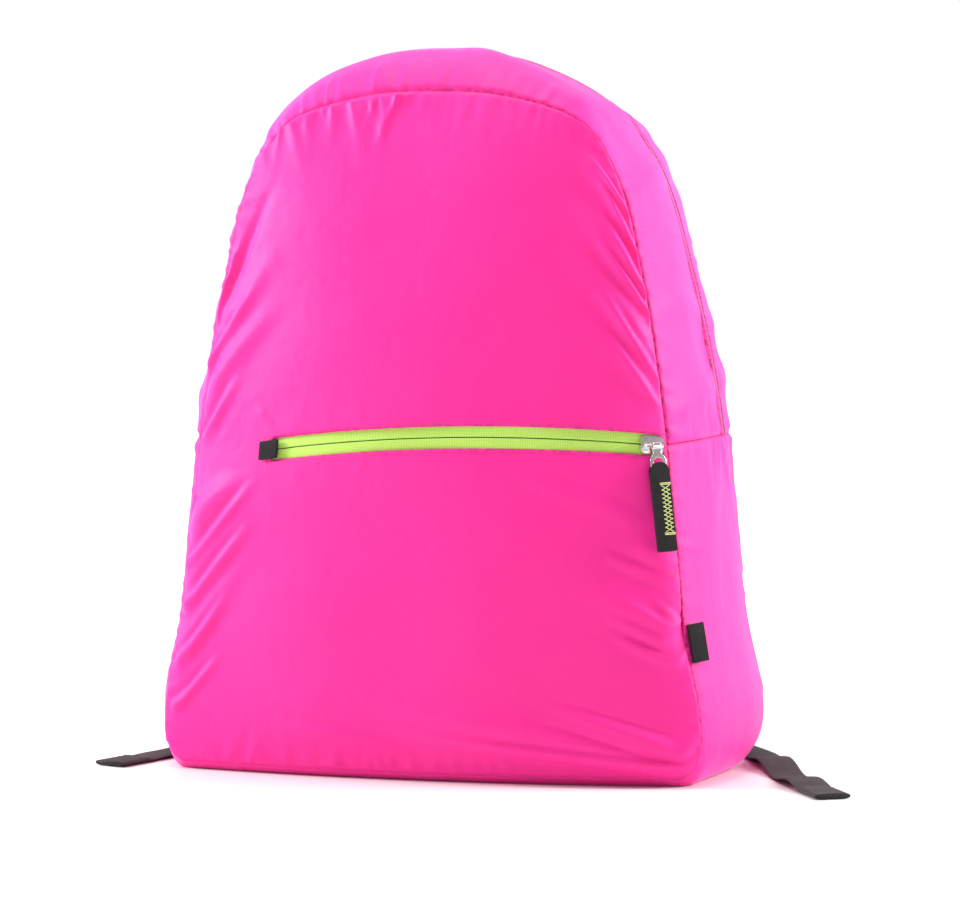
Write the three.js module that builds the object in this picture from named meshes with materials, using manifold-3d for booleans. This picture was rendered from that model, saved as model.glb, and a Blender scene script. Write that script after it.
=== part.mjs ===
// A packable nylon daypack, filled and standing upright, in millimetres.
// X runs to the wearer's left seen from the front, Y from the front panel to the back panel, Z up.
// The origin is the middle of the flat base on the ground.
import * as THREE from "three";
import { mergeVertices } from "three/addons/utils/BufferGeometryUtils.js";
import Module from "manifold-3d";

// Driving dimensions of the bag
const archHeight = 414; // top of the front panel's arched seam
const baseHalfWidth = 168; // the front seam's widest half, just above the ground
const seamLift = 5; // the front seam's height over the ground along the base
const bagDepth = 145; // from the front seam to the back seam at the ground
const frontSeamY = -75; // the front seam at the ground
const frontLean = 13; // how far the arch's top leans back
const frontBow = 18; // how far the base's front edge bows out
const bowHeight = 120; // the height at which that bow has died out
const backSeamY = frontSeamY + bagDepth;
const backLean = 8;
const domeDepth = 36; // how far the filled front panel bulges out
const backDome = 9;
const sideSwell = 17; // how far the gusset swells out of the seam's outline at the sides
const upperSwell = 11; // and near the shoulders
const topSwell = 27; // over the middle of the top
const shoulderSwell = 10; // and over the ends of the top
const crownHalf = 106; // half the length over which the top's swell dies out
const crownShift = 15; // the crown stands this far to the left
const baseDrop = 7; // the base sinks this far below the seams, cut off flat at the ground
const clothWall = 1.4;
const seamGap = 0.3; // left between sewn pieces
const panelInset = seamGap * 1.6; // seen from the front, since the pieces meet on a slant
const backInset = seamGap * 2.6; // the back panel has fewer columns than its seam
const gatherHeight = 1.6; // of the ripples under the arched seam
const gatherCount = 13;

// The main zip and the side seams that end it
const mainZipDepth = 0.62; // where the zip runs, as a share of the gusset from front to back
const sideSeamHeight = 203; // the zip's two ends
const mainZipSlot = 1.6;
const mainTapeWidth = 14;
const weltHeight = 1.0; // the folded edges beside the zip stand this far out
const tapeWall = 1.0;
const tapeGap = 0.35;

// The pocket zip in the front panel
const zipHeight = 207.5; // its highest place over the ground
const zipPeakAt = 0.3; // where that is, as a share of the panel's half width
const zipFall = 12; // how far it hangs below that, a half width further on
const zipWindow = 13; // the lime strip that shows
const zipTapeWidth = 17;
const zipLeftEnd = -0.592; // the window's ends, as shares of the panel's half width
const zipRightEnd = 0.975;
const sliderAt = 0.912;
const zipSplit = 0.35; // between the two closed halves

// Hardware on the pocket zip
const sliderLength = 14.5;
const sliderWidth = 10.5;
const sliderWall = 1.7;
const sliderBack = 1.2; // the plate behind the tapes
const sliderBackGap = 0.9;
const sliderPost = 2.2;
const sliderSeat = 0.35; // above the tape
const bridgeLength = 12;
const bridgeWidth = 2.6;
const bridgeWire = 1.5;
const bridgeRise = 3.5; // clear height under the bridge
const pullLength = 15.5;
const pullWidth = 10;
const pullNeck = 5;
const pullWall = 1.3;
const pullEyeWall = 0.85;
const pullEyeClear = 0.55; // between the bridge and the pull's rolled eye
const pullSwing = 9.5; // degrees that the pull hangs off the slant of the zip
const pullShift = 1.4; // along the bridge, from its middle
const pullHole = 6;
const pullRim = 2; // below the hole
const pullLean = 5; // degrees that the hanging pull stands off the panel
const tabLength = 53;
const tabWidth = 11.4;
const tabWall = 1.1; // of each of its two layers
const tabStub = 2.4; // where its layers meet in the pull's hole
const endTabLength = 14;
const endTabWidth = 11.6;
const endTabWall = 2.4;

// The loop label in the right seam
const labelHeight = 85; // its middle over the ground
const labelLength = 23;
const labelReach = 12;
const labelWall = 0.8;
const labelLift = 24; // degrees off the gusset

// Shoulder straps, ladder locks and webbing
const strapWidth = 58;
const strapWall = 6;
const strapNeck = 25; // its width where it meets the ladder lock
const strapTopX = baseHalfWidth * 0.31; // the middle of its top end
const strapTopZ = archHeight * 0.957;
const strapFootX = baseHalfWidth * 0.667; // the middle of its lower end
const strapFootZ = archHeight * 0.319;
const strapFootOff = 23; // its lower end's distance from the back panel
const strapBulge = 34; // its greatest distance from it
const anchorX = baseHalfWidth - 19; // where its web starts, at the bag's lower corner
const anchorZ = 30;
const webWidth = 22;
const webWall = 1.6;
const webTurn = 3.6; // the radius of a web's middle line round a bar
const lockWidth = 31;
const lockHeight = 30;
const lockWall = 3.6;
const lockRail = 3.4;
const lockBar = 3.0;
const hemWall = 3.4; // the webs' folded ends
const groundGap = 0.25; // under what lies on the ground

const wasm = await Module();
wasm.setup();

// Each row is one fold of the front panel, from (across, up) to (toAcross, toUp).
// These are shares of the panel, from its middle and from its base.
// half is half the fold's width and height its rise, both in mm.
const frontFolds = [
  { across: 0.8, up: 0.93, toAcross: 1.0, toUp: 0.83, half: 9, height: 3.0 },
  { across: 0.74, up: 0.84, toAcross: 1.0, toUp: 0.735, half: 9, height: 3.4 },
  { across: 0.7, up: 0.75, toAcross: 1.0, toUp: 0.64, half: 9, height: 3.2 },
  { across: 0.72, up: 0.66, toAcross: 1.0, toUp: 0.565, half: 8, height: 2.4 },
  { across: -0.72, up: 0.76, toAcross: -1.0, toUp: 0.66, half: 9, height: 2.6 },
  { across: -0.68, up: 0.68, toAcross: -1.0, toUp: 0.58, half: 9, height: 3.4 },
  { across: -0.72, up: 0.46, toAcross: -1.0, toUp: 0.345, half: 9, height: 3.4 },
  { across: -0.72, up: 0.37, toAcross: -1.0, toUp: 0.24, half: 9, height: 2.8 },
  { across: 0.78, up: 0.37, toAcross: 1.0, toUp: 0.3, half: 9, height: 2.6 },
  { across: 0.66, up: 0.28, toAcross: 1.0, toUp: 0.19, half: 10, height: 3.0 },
  { across: -0.05, up: 0.085, toAcross: 0.86, toUp: 0.03, half: 10, height: 4.5 },
];

// Profiles: at runs from 0 to 1, and value is a share of the size it is used with.
const domeUp = [
  { at: 0, value: 0 },
  { at: 0.12, value: 0.56 },
  { at: 0.28, value: 0.97 },
  { at: 0.5, value: 0.96 },
  { at: 0.72, value: 0.76 },
  { at: 0.91, value: 0.34 },
  { at: 1, value: 0 },
];
const swellSide = [
  { at: 0, value: 0 },
  { at: 0.15, value: 0.42 },
  { at: 0.35, value: 0.82 },
  { at: 0.6, value: 1 },
  { at: 0.82, value: 0.9 },
  { at: 1, value: 0.55 },
];
const swellTop = [
  { at: 0, value: 0 },
  { at: 0.12, value: 0.66 },
  { at: 0.28, value: 1 },
  { at: 0.55, value: 0.96 },
  { at: 0.82, value: 0.78 },
  { at: 1, value: 0.42 },
];
const swellBase = [
  { at: 0, value: 0 },
  { at: 0.07, value: 1 },
  { at: 0.93, value: 1 },
  { at: 1, value: 0 },
];

// The right half of the front seam's outline, as shares of baseHalfWidth and archHeight above the base line.
const seamOutline = [
  { out: 0, up: 0 },
  { out: 0.6, up: 0 },
  { out: 0.935, up: 0.002 },
  { out: 0.99, up: 0.032 },
  { out: 0.998, up: 0.09 },
  { out: 0.946, up: 0.2 },
  { out: 0.902, up: 0.37 },
  { out: 0.842, up: 0.575 },
  { out: 0.778, up: 0.725 },
  { out: 0.688, up: 0.865 },
  { out: 0.545, up: 0.952 },
  { out: 0.27, up: 0.992 },
  { out: 0, up: 1 },
];

const lerp = THREE.MathUtils.lerp;
const clamp = THREE.MathUtils.clamp;
const radians = THREE.MathUtils.degToRad;
const smooth = (low, high, x) => THREE.MathUtils.smoothstep(x, low, high);

// A smooth value through a profile's rows.
function profile(rows, at) {
  const i = clamp(rows.findIndex((row) => row.at >= at), 1, rows.length - 1);
  const [a, b] = [rows[i - 1], rows[i]];
  const slope = (j) => {
    if (j <= 0 || j >= rows.length - 1) return null;
    const before = (rows[j].value - rows[j - 1].value) / (rows[j].at - rows[j - 1].at);
    const after = (rows[j + 1].value - rows[j].value) / (rows[j + 1].at - rows[j].at);
    return before * after <= 0 ? 0 : (2 * before * after) / (before + after);
  };
  const span = b.at - a.at;
  const chord = (b.value - a.value) / span;
  const [m0, m1] = [slope(i - 1) ?? chord, slope(i) ?? chord];
  const t = clamp((at - a.at) / span, 0, 1);
  const t2 = t * t;
  const t3 = t2 * t;
  return (
    (2 * t3 - 3 * t2 + 1) * a.value +
    (t3 - 2 * t2 + t) * span * m0 +
    (3 * t2 - 2 * t3) * b.value +
    (t3 - t2) * span * m1
  );
}

// The front seam's outline as a closed curve in X and Z.
// It runs from the base's middle to the right, over the arch and back down on the left.
const outlineHalf = seamOutline.map(
  (row) => new THREE.Vector3(row.out * baseHalfWidth, 0, seamLift + row.up * (archHeight - seamLift)),
);
const outlineCurve = new THREE.CatmullRomCurve3(
  [
    ...outlineHalf,
    ...outlineHalf.slice(1, -1).reverse().map((p) => new THREE.Vector3(-p.x, 0, p.z)),
  ],
  true,
  "centripetal",
);
outlineCurve.arcLengthDivisions = 1200;

function outline(s) {
  const p = outlineCurve.getPointAt(((s % 1) + 1) % 1);
  return { x: p.x, z: Math.max(p.z, seamLift) };
}

function outlineNormal(s) {
  const step = 0.004;
  const [a, b] = [outline(s - step), outline(s + step)];
  const [dx, dz] = [b.x - a.x, b.z - a.z];
  const length = Math.hypot(dx, dz);
  return { x: dz / length, z: -dx / length };
}

// Where along the outline's right side a height lies.
function outlineAtHeight(z) {
  let [low, high] = [0.15, 0.5];
  for (let i = 0; i < 40; i++) {
    const middle = (low + high) / 2;
    if (outline(middle).z < z) low = middle;
    else high = middle;
  }
  return (low + high) / 2;
}

const cornerAt = 0.135; // where along the outline the base turns into a side
const shoulderAt = outlineAtHeight(archHeight * 0.93);
const sideSeamAt = outlineAtHeight(sideSeamHeight);

const halfWidthAt = (z) => outline(outlineAtHeight(clamp(z, seamLift + 8, archHeight - 1))).x;

function seamY(x, z) {
  const bow = frontBow * (1 - smooth(0, bowHeight, z)) * Math.max(0, 1 - (x / baseHalfWidth) ** 2);
  return frontSeamY + frontLean * (z / archHeight) - bow;
}

const backY = (z) => backSeamY - backLean * (z / archHeight);

// A patch between four stretches of an outline: u from -1 to 1 across, v from 0 to 1 up.
function patch(edge, u, v) {
  const k = (u + 1) / 2;
  const along = lerp(cornerAt, shoulderAt, v);
  const base = edge(cornerAt * u);
  const top = edge(0.5 - (0.5 - shoulderAt) * u);
  const left = edge(1 - along);
  const right = edge(along);
  const corners = [1 - cornerAt, cornerAt, 1 - shoulderAt, shoulderAt].map(edge);
  const at = (axis) => {
    const [leftFoot, rightFoot, leftHead, rightHead] = corners.map((corner) => corner[axis]);
    return (
      lerp(base[axis], top[axis], v) +
      lerp(left[axis], right[axis], k) -
      lerp(lerp(leftFoot, rightFoot, k), lerp(leftHead, rightHead, k), v)
    );
  };
  return { x: at("x"), z: at("z") };
}

// The height of all folds at a place on a panel.
function foldHeight(folds, u, v, halfWidth, height) {
  let sum = 0;
  for (const fold of folds) {
    const ax = fold.across * halfWidth;
    const az = fold.up * height;
    const dx = fold.toAcross * halfWidth - ax;
    const dz = fold.toUp * height - az;
    const px = u * halfWidth - ax;
    const pz = v * height - az;
    const length = Math.hypot(dx, dz);
    const t = (px * dx + pz * dz) / (length * length);
    const off = Math.abs(px * dz - pz * dx) / length;
    const ends = smooth(-0.25, 0.3, t) * (1 - smooth(0.95, 1.25, t));
    sum += fold.height * ends * Math.exp(-((off / fold.half) ** 2));
  }
  return sum;
}

// How far up the front panel the pocket zip runs, as a share of the panel.
const zipShares = new Map();
function zipLine(u) {
  if (!zipShares.has(u)) {
    const height = zipHeight - zipFall * (u - zipPeakAt) ** 2;
    let v = height / archHeight;
    for (let i = 0; i < 5; i++) v += (height - patch(panelOutline, u, v).z) / archHeight;
    zipShares.set(u, v);
  }
  return zipShares.get(u);
}

// The front panel's own edge, just inside the seam.
function panelOutline(s) {
  const [p, n] = [outline(s), outlineNormal(s)];
  return { x: p.x - n.x * panelInset, z: p.z - n.z * panelInset };
}

// How a panel's bulge falls off towards its sides
const acrossDome = (u) => 1 - Math.abs(u) ** 2.4;

function frontPoint(u, v) {
  const p = patch(panelOutline, u, v);
  const inside = smooth(0, 0.12, 1 - Math.abs(u)) * smooth(0, 0.05, v) * smooth(0, 0.05, 1 - v);
  const dome = domeDepth * acrossDome(u) * profile(domeUp, v);
  const nearZip = smooth(0.024, 0.05, Math.abs(v - zipLine(u)));
  const folds = foldHeight(frontFolds, u, v, halfWidthAt(p.z), archHeight) * inside * nearZip;
  const ripple = Math.cos(u * Math.PI * gatherCount) * smooth(0.86, 0.95, v) * smooth(0, 0.02, 1 - v);
  const gathers = gatherHeight * ripple * (1 - smooth(0.75, 0.95, Math.abs(u)));
  return new THREE.Vector3(p.x, seamY(p.x, p.z) - dome - folds - gathers, p.z);
}

// How far a wall reaches from its outer face to its inner face where two panels are sewn at a corner
const mitreReach = 0.85;
function mitre(s, towards) {
  const n = outlineNormal(s);
  return new THREE.Vector3(-n.x, towards, -n.z).multiplyScalar(clothWall * mitreReach);
}

// The gusset's outer face: s runs along the outline, t from the front seam to the back seam.
function swell(s, t) {
  const [p, n] = [outline(s), outlineNormal(s)];
  const crown = lerp(topSwell, shoulderSwell, Math.min(1, ((p.x + crownShift) / crownHalf) ** 2));
  const vertical = n.z > 0 ? crown * profile(swellTop, t) : baseDrop * profile(swellBase, t);
  const beside = lerp(sideSwell, upperSwell, smooth(sideSeamHeight, archHeight * 0.9, p.z));
  return n.x * n.x * beside * profile(swellSide, t) + n.z * n.z * vertical;
}

function gussetPoint(s, t, rise = 0) {
  const p = outline(s);
  const n = outlineNormal(s);
  const out = swell(s, t) + rise;
  const y = lerp(seamY(p.x, p.z), backY(p.z), t);
  return new THREE.Vector3(p.x + n.x * out, y, Math.max(0, p.z + n.z * out));
}

const depthAt = (s) => backY(outline(s).z) - seamY(outline(s).x, outline(s).z);

// The back panel's edge, just inside the gusset's rear edge.
function backOutline(s) {
  const [p, n] = [gussetPoint(s, 1), outlineNormal(s)];
  return { x: p.x - n.x * backInset, z: p.z - n.z * backInset };
}

function backPoint(u, v) {
  const p = patch(backOutline, u, v);
  const dome = backDome * acrossDome(u) * Math.sin(Math.PI * clamp(v, 0, 1)) ** 0.7;
  return new THREE.Vector3(p.x, backY(p.z) + dome, p.z);
}

// A closed solid from flat lists of corners.
function solid(points, faces) {
  const geometry = new THREE.BufferGeometry();
  const corners = points.flatMap((p) => [p.x, p.y, p.z]);
  geometry.setAttribute("position", new THREE.Float32BufferAttribute(corners, 3));
  geometry.setIndex(faces.flat());
  return geometry;
}

// A cloth wall over a grid of outer points.
// open(i, j) leaves a cell out, and inward(i, j) may give the wall's reach at a rim.
function clothSolid(grid, { wall = clothWall, open = () => false, inward = () => null, flip = false } = {}) {
  const [columns, rows] = [grid.length, grid[0].length];
  const points = grid.flat();
  const normals = grid.map((column, i) =>
    column.map((p, j) => {
      const alongU = grid[Math.min(i + 1, columns - 1)][j].clone().sub(grid[Math.max(i - 1, 0)][j]);
      const alongV = column[Math.min(j + 1, rows - 1)].clone().sub(column[Math.max(j - 1, 0)]);
      return alongU.cross(alongV).normalize().multiplyScalar(flip ? -1 : 1);
    }),
  );
  const inner = grid.map((column, i) =>
    column.map((p, j) => p.clone().add(inward(i, j) ?? normals[i][j].clone().multiplyScalar(-wall))),
  );
  points.push(...inner.flat());
  const outerIndex = (i, j) => i * rows + j;
  const innerIndex = (i, j) => columns * rows + i * rows + j;
  const faces = [];
  const quad = (a, b, c, d) => faces.push(...(flip ? [[a, c, b], [a, d, c]] : [[a, b, c], [a, c, d]]));
  const solidCell = (i, j) => i >= 0 && j >= 0 && i < columns - 1 && j < rows - 1 && !open(i, j);
  for (let i = 0; i < columns - 1; i++) {
    for (let j = 0; j < rows - 1; j++) {
      if (!solidCell(i, j)) continue;
      quad(outerIndex(i, j), outerIndex(i + 1, j), outerIndex(i + 1, j + 1), outerIndex(i, j + 1));
      quad(innerIndex(i, j), innerIndex(i, j + 1), innerIndex(i + 1, j + 1), innerIndex(i + 1, j));
      const rims = [
        [[i, j - 1], [i, j], [i + 1, j]],
        [[i + 1, j], [i + 1, j], [i + 1, j + 1]],
        [[i, j + 1], [i + 1, j + 1], [i, j + 1]],
        [[i - 1, j], [i, j + 1], [i, j]],
      ];
      for (const [cell, from, to] of rims) {
        if (solidCell(...cell)) continue;
        quad(outerIndex(...to), outerIndex(...from), innerIndex(...from), innerIndex(...to));
      }
    }
  }
  return tidy(solid(points, faces));
}

// Keeps only positions, with shared corners merged.
function tidy(geometry) {
  const plain = geometry.index ? geometry.toNonIndexed() : geometry.clone();
  for (const name of Object.keys(plain.attributes)) if (name !== "position") plain.deleteAttribute(name);
  return mergeVertices(plain, 1e-3);
}

// A band of webbing or padded cloth.
// Its rows hold the middle point, the width's direction, half the width and the wall.
function bandSolid(rows, corners = [[-1, -1], [1, -1], [1, 1], [-1, 1]]) {
  const points = [];
  rows.forEach((row, i) => {
    const before = rows[Math.max(i - 1, 0)].point;
    const after = rows[Math.min(i + 1, rows.length - 1)].point;
    const along = after.clone().sub(before).normalize();
    const side = row.side.clone().addScaledVector(along, -row.side.dot(along)).normalize();
    const face = along.clone().cross(side);
    for (const [a, b] of corners) {
      points.push(
        row.point.clone().addScaledVector(side, a * row.half).addScaledVector(face, (b * row.wall) / 2),
      );
    }
  });
  const count = corners.length;
  const faces = [];
  for (let i = 0; i < rows.length - 1; i++) {
    for (let k = 0; k < count; k++) {
      const [a, b] = [i * count + k, i * count + ((k + 1) % count)];
      faces.push([a, b, b + count], [a, b + count, a + count]);
    }
  }
  for (let k = 1; k < count - 1; k++) {
    faces.push([0, k + 1, k]);
    const last = (rows.length - 1) * count;
    faces.push([last, last + k, last + k + 1]);
  }
  return tidy(solid(points, faces));
}

const toManifold = (geometry) => {
  const merged = tidy(geometry);
  return new wasm.Manifold(
    new wasm.Mesh({
      numProp: 3,
      vertProperties: merged.attributes.position.array,
      triVerts: new Uint32Array(merged.index.array),
    }),
  );
};

function fromManifold(shape) {
  const mesh = shape.getMesh();
  const geometry = new THREE.BufferGeometry();
  geometry.setAttribute("position", new THREE.BufferAttribute(new Float32Array(mesh.vertProperties), 3));
  geometry.setIndex(new THREE.BufferAttribute(new Uint32Array(mesh.triVerts), 1));
  return geometry;
}

const join = (...geometries) => fromManifold(geometries.map(toManifold).reduce((a, b) => a.add(b)));
const cut = (geometry, ...tools) =>
  fromManifold(tools.map(toManifold).reduce((a, b) => a.subtract(b), toManifold(geometry)));

// A plate with rounded corners, lying in X and Z with its thickness along Y from y0 to y0 + wall.
function plate(width, height, radius, wall, y0, topRadius = radius) {
  const [w, h] = [width / 2, height / 2];
  const shape = new THREE.Shape();
  shape.moveTo(-w + radius, -h);
  shape.lineTo(w - radius, -h);
  shape.absarc(w - radius, -h + radius, radius, -Math.PI / 2, 0);
  shape.lineTo(w, h - topRadius);
  shape.absarc(w - topRadius, h - topRadius, topRadius, 0, Math.PI / 2);
  shape.lineTo(-w + topRadius, h);
  shape.absarc(-w + topRadius, h - topRadius, topRadius, Math.PI / 2, Math.PI);
  shape.lineTo(-w, -h + radius);
  shape.absarc(-w + radius, -h + radius, radius, Math.PI, 1.5 * Math.PI);
  return new THREE.ExtrudeGeometry(shape, { depth: wall, bevelEnabled: false, curveSegments: 3 })
    .rotateX(Math.PI / 2)
    .translate(0, y0 + wall, 0);
}

function box(width, depth, height, x = 0, y = 0, z = 0) {
  return new THREE.BoxGeometry(width, depth, height).translate(x, y, z);
}

const range = (count, from, to) => Array.from({ length: count + 1 }, (_, i) => lerp(from, to, i / count));

const materials = {
  pinkNylon: { color: 0xff3ba6, roughness: 0.45, metalness: 0 },
  pinkTape: { color: 0xe93b97, roughness: 0.6, metalness: 0 },
  limeTape: { color: 0xb9e45a, roughness: 0.6, metalness: 0 },
  nickel: { color: 0xd8d4d2, roughness: 0.2, metalness: 1 },
  blackWebbing: { color: 0x2e2a2e, roughness: 0.8, metalness: 0 },
  greyWebbing: { color: 0x5f5a60, roughness: 0.8, metalness: 0 },
  blackPlastic: { color: 0x19181a, roughness: 0.5, metalness: 0 },
};
for (const [name, values] of Object.entries(materials)) {
  materials[name] = new THREE.MeshStandardMaterial({ name, ...values });
}

const bag = new THREE.Group();
bag.name = "packable_backpack";

function add(name, geometry, material, parent = bag) {
  const mesh = new THREE.Mesh(geometry, materials[material]);
  mesh.name = name;
  parent.add(mesh);
  return mesh;
}

// A place on a surface as a matrix, with X along a line of it, Y into the bag and Z up.
function placeOn(surface, u, v, line = () => v) {
  const step = 1e-3;
  const along = surface(u + step, line(u + step)).sub(surface(u - step, line(u - step))).normalize();
  const up = surface(u, v + step).sub(surface(u, v - step));
  const inward = up.clone().cross(along).normalize();
  return new THREE.Matrix4()
    .makeBasis(along, inward, along.clone().cross(inward))
    .setPosition(surface(u, v));
}

function mirrored(geometry) {
  const copy = tidy(geometry).toNonIndexed();
  const position = copy.attributes.position;
  for (let i = 0; i < position.count; i += 3) {
    const corners = [0, 2, 1].map((k) => new THREE.Vector3().fromBufferAttribute(position, i + k));
    corners.forEach((p, k) => position.setXYZ(i + k, -p.x, p.y, p.z));
  }
  return tidy(copy);
}

// The front panel, with a window for the pocket zip
const windowHalf = zipWindow / 2 / archHeight;
const frontColumns = [...range(3, -1, zipLeftEnd), ...range(20, zipLeftEnd, zipRightEnd).slice(1), 1];
const windowRow = 13;
const frontRows = [
  ...range(windowRow, 0, 1).map((share) => ["lower", share]),
  ...range(windowRow + 1, 0, 1).map((share) => ["upper", share]),
];

// A row is a share of the way up its half of the panel, so the window's edges follow the zip's line.
function panelV(u, half, share) {
  return half === "lower"
    ? lerp(0, zipLine(u) - windowHalf, share)
    : lerp(zipLine(u) + windowHalf, 1, share);
}

// Where on the outline a place on a panel's rim is.
function rimAt(u, v) {
  if (v < 0.01) return cornerAt * u;
  if (v > 0.99) return 0.5 - (0.5 - shoulderAt) * u;
  return Math.sign(u) * lerp(cornerAt, shoulderAt, v);
}

function frontPanel() {
  const grid = frontColumns.map((u) => frontRows.map((row) => frontPoint(u, panelV(u, ...row))));
  const last = frontColumns.length - 1;
  const onRim = (i, j) => i === 0 || i === last || j === 0 || j === frontRows.length - 1;
  return clothSolid(grid, {
    open: (i, j) => j === windowRow && frontColumns[i] >= zipLeftEnd - 1e-6 && i < last - 1,
    inward: (i, j) =>
      onRim(i, j) ? mitre(rimAt(frontColumns[i], panelV(frontColumns[i], ...frontRows[j])), 1) : null,
  });
}
add("front_panel", frontPanel(), "pinkNylon");

// The gusset: two strips over the arch beside the main zip, and one piece round the base.
// Its columns are the front panel's own places on the seam, so that both follow the same chords.
const leastStep = 0.004;
const sideColumns = (sign) =>
  frontRows.slice(1, -1).map((row) => lerp(cornerAt, shoulderAt, panelV(sign, ...row)));
const archSide = (sign) => [
  sideSeamAt,
  ...sideColumns(sign).filter((s) => s > sideSeamAt + leastStep),
  shoulderAt,
];
const baseSide = (sign) => [
  cornerAt,
  ...sideColumns(sign).filter((s) => s < sideSeamAt - leastStep),
  sideSeamAt,
];
const acrossColumns = frontColumns.slice(1, -1);
const gussetColumns = [
  ...archSide(1),
  ...acrossColumns.map((u) => 0.5 - (0.5 - shoulderAt) * u).reverse(),
  ...archSide(-1).map((s) => 1 - s).reverse(),
];
const baseColumns = [
  ...baseSide(-1).map((s) => -s).reverse(),
  ...acrossColumns.map((u) => cornerAt * u),
  ...baseSide(1),
];
const outlineLength = outlineCurve.getLength();
const besideZip = (s, offset) => mainZipDepth + offset / depthAt(s);
const rearMitre = (s) => mitre(s, -1);

// Each row is a ripple of the strips.
// along is its share of the way over the arch from the right, and slant its drift from front to back.
const gussetFolds = [
  { along: 0.05, slant: 0.03, half: 9, height: 2.2 },
  { along: 0.13, slant: -0.03, half: 10, height: 1.8 },
  { along: 0.27, slant: 0.05, half: 11, height: 2.4 },
  { along: 0.34, slant: -0.04, half: 10, height: 2.6 },
  { along: 0.47, slant: 0.03, half: 12, height: 1.6 },
  { along: 0.66, slant: -0.05, half: 11, height: 2.6 },
  { along: 0.73, slant: 0.04, half: 10, height: 2.0 },
  { along: 0.88, slant: 0.03, half: 10, height: 1.8 },
  { along: 0.95, slant: -0.03, half: 9, height: 2.2 },
];

function rippleAt(s, t) {
  const share = (s - sideSeamAt) / (1 - 2 * sideSeamAt);
  const archLength = (1 - 2 * sideSeamAt) * outlineLength;
  const inside = smooth(0, 0.16, t) * smooth(0, 0.16, 1 - t);
  return gussetFolds.reduce((sum, fold) => {
    const off = (share - fold.along - fold.slant * (t - 0.5)) * archLength;
    return sum + fold.height * inside * Math.exp(-((off / fold.half) ** 2));
  }, 0);
}

// A strip of the gusset from rows that each give the depth share and the rise at a place s.
function gussetStrip(columns, rows, endGap, rims) {
  const shift = endGap / outlineLength;
  const grid = columns.map((s, i) => {
    const at = i === 0 ? s + shift : i === columns.length - 1 ? s - shift : s;
    return rows.map((row) => {
      const { t, rise = 0 } = row(at);
      return gussetPoint(at, t, rise + rippleAt(at, t) * (rise ? 0 : 1));
    });
  });
  return clothSolid(grid, { flip: true, inward: (i, j) => rims(columns[i], j) });
}

const frontStripRows = [
  () => ({ t: 0 }),
  ...[0.09, 0.25, 0.42].map((t) => () => ({ t })),
  (s) => ({ t: besideZip(s, -6.5) }),
  (s) => ({ t: besideZip(s, -4.2), rise: weltHeight }),
  (s) => ({ t: besideZip(s, -mainZipSlot / 2), rise: weltHeight }),
];
const rearStripRows = [
  (s) => ({ t: besideZip(s, mainZipSlot / 2), rise: weltHeight }),
  (s) => ({ t: besideZip(s, 4.2), rise: weltHeight }),
  (s) => ({ t: besideZip(s, 6.5) }),
  () => ({ t: 1 }),
];
const frontStrip = gussetStrip(gussetColumns, frontStripRows, seamGap / 2, (s, j) =>
  j === 0 ? mitre(s, 1) : null,
);
const rearStrip = gussetStrip(gussetColumns, rearStripRows, seamGap / 2, (s, j) =>
  j === rearStripRows.length - 1 ? rearMitre(s) : null,
);
add("gusset_front_strip", frontStrip, "pinkNylon");
add("gusset_rear_strip", rearStrip, "pinkNylon");

const baseRows = [0, 0.07, 0.25, 0.5, 0.75, 0.93, 1];
const lowerGusset = gussetStrip(
  baseColumns,
  baseRows.map((t) => () => ({ t })),
  seamGap / 2,
  (s, j) => (j === 0 ? mitre(s, 1) : j === baseRows.length - 1 ? rearMitre(s) : null),
);
add("lower_gusset", lowerGusset, "pinkNylon");

// The main zip's tape lies behind the two strips, with its closed teeth standing in the slot between them.
function mainZipTape() {
  const depth = clothWall + tapeGap;
  const offsets = [-mainTapeWidth / 2, 0, mainTapeWidth / 2];
  const toothRise = [0, 0.5, 0];
  const grid = gussetColumns.map((s) =>
    offsets.map((offset, j) => gussetPoint(s, besideZip(s, offset), toothRise[j] - depth)),
  );
  return clothSolid(grid, { wall: tapeWall, flip: true });
}
add("main_zip_tape", mainZipTape(), "pinkTape");

// The back panel
const backColumns = range(14, -1, 1);
const backRows = range(13, 0, 1);

function backPanel() {
  const grid = backColumns.map((u) => backRows.map((v) => backPoint(u, v)));
  const [lastColumn, lastRow] = [backColumns.length - 1, backRows.length - 1];
  return clothSolid(grid, {
    flip: true,
    inward: (i, j) => {
      const onRim = i === 0 || i === lastColumn || j === 0 || j === lastRow;
      return onRim ? rearMitre(rimAt(backColumns[i], j === lastRow ? 1 : backRows[j])) : null;
    },
  });
}
add("back_panel", backPanel(), "pinkNylon");

// The pocket zip: two tapes behind the window
const tapeSurface = (u, v) => {
  const out = placeOn(frontPoint, u, v).elements;
  const inward = new THREE.Vector3(out[4], out[5], out[6]);
  return frontPoint(u, v).addScaledVector(inward, clothWall + tapeGap);
};
const slider = placeOn(tapeSurface, sliderAt, zipLine(sliderAt), zipLine);
const atSlider = (geometry) => geometry.applyMatrix4(slider);
const sliderNotch = () => atSlider(box(sliderPost + 0.8, 8, sliderPost + 0.8));

function pocketTape(sign) {
  const columns = range(20, zipLeftEnd - 0.03, zipRightEnd + 0.006);
  const inner = (sign * zipSplit) / 2 / archHeight;
  const outer = (sign * zipTapeWidth) / 2 / archHeight;
  const shares = sign > 0 ? [inner, outer] : [outer, inner];
  const grid = columns.map((u) => shares.map((dv) => tapeSurface(u, zipLine(u) + dv)));
  return cut(clothSolid(grid, { wall: tapeWall }), sliderNotch());
}
add("pocket_zip_tape_upper", pocketTape(1), "limeTape");
add("pocket_zip_tape_lower", pocketTape(-1), "limeTape");

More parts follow.
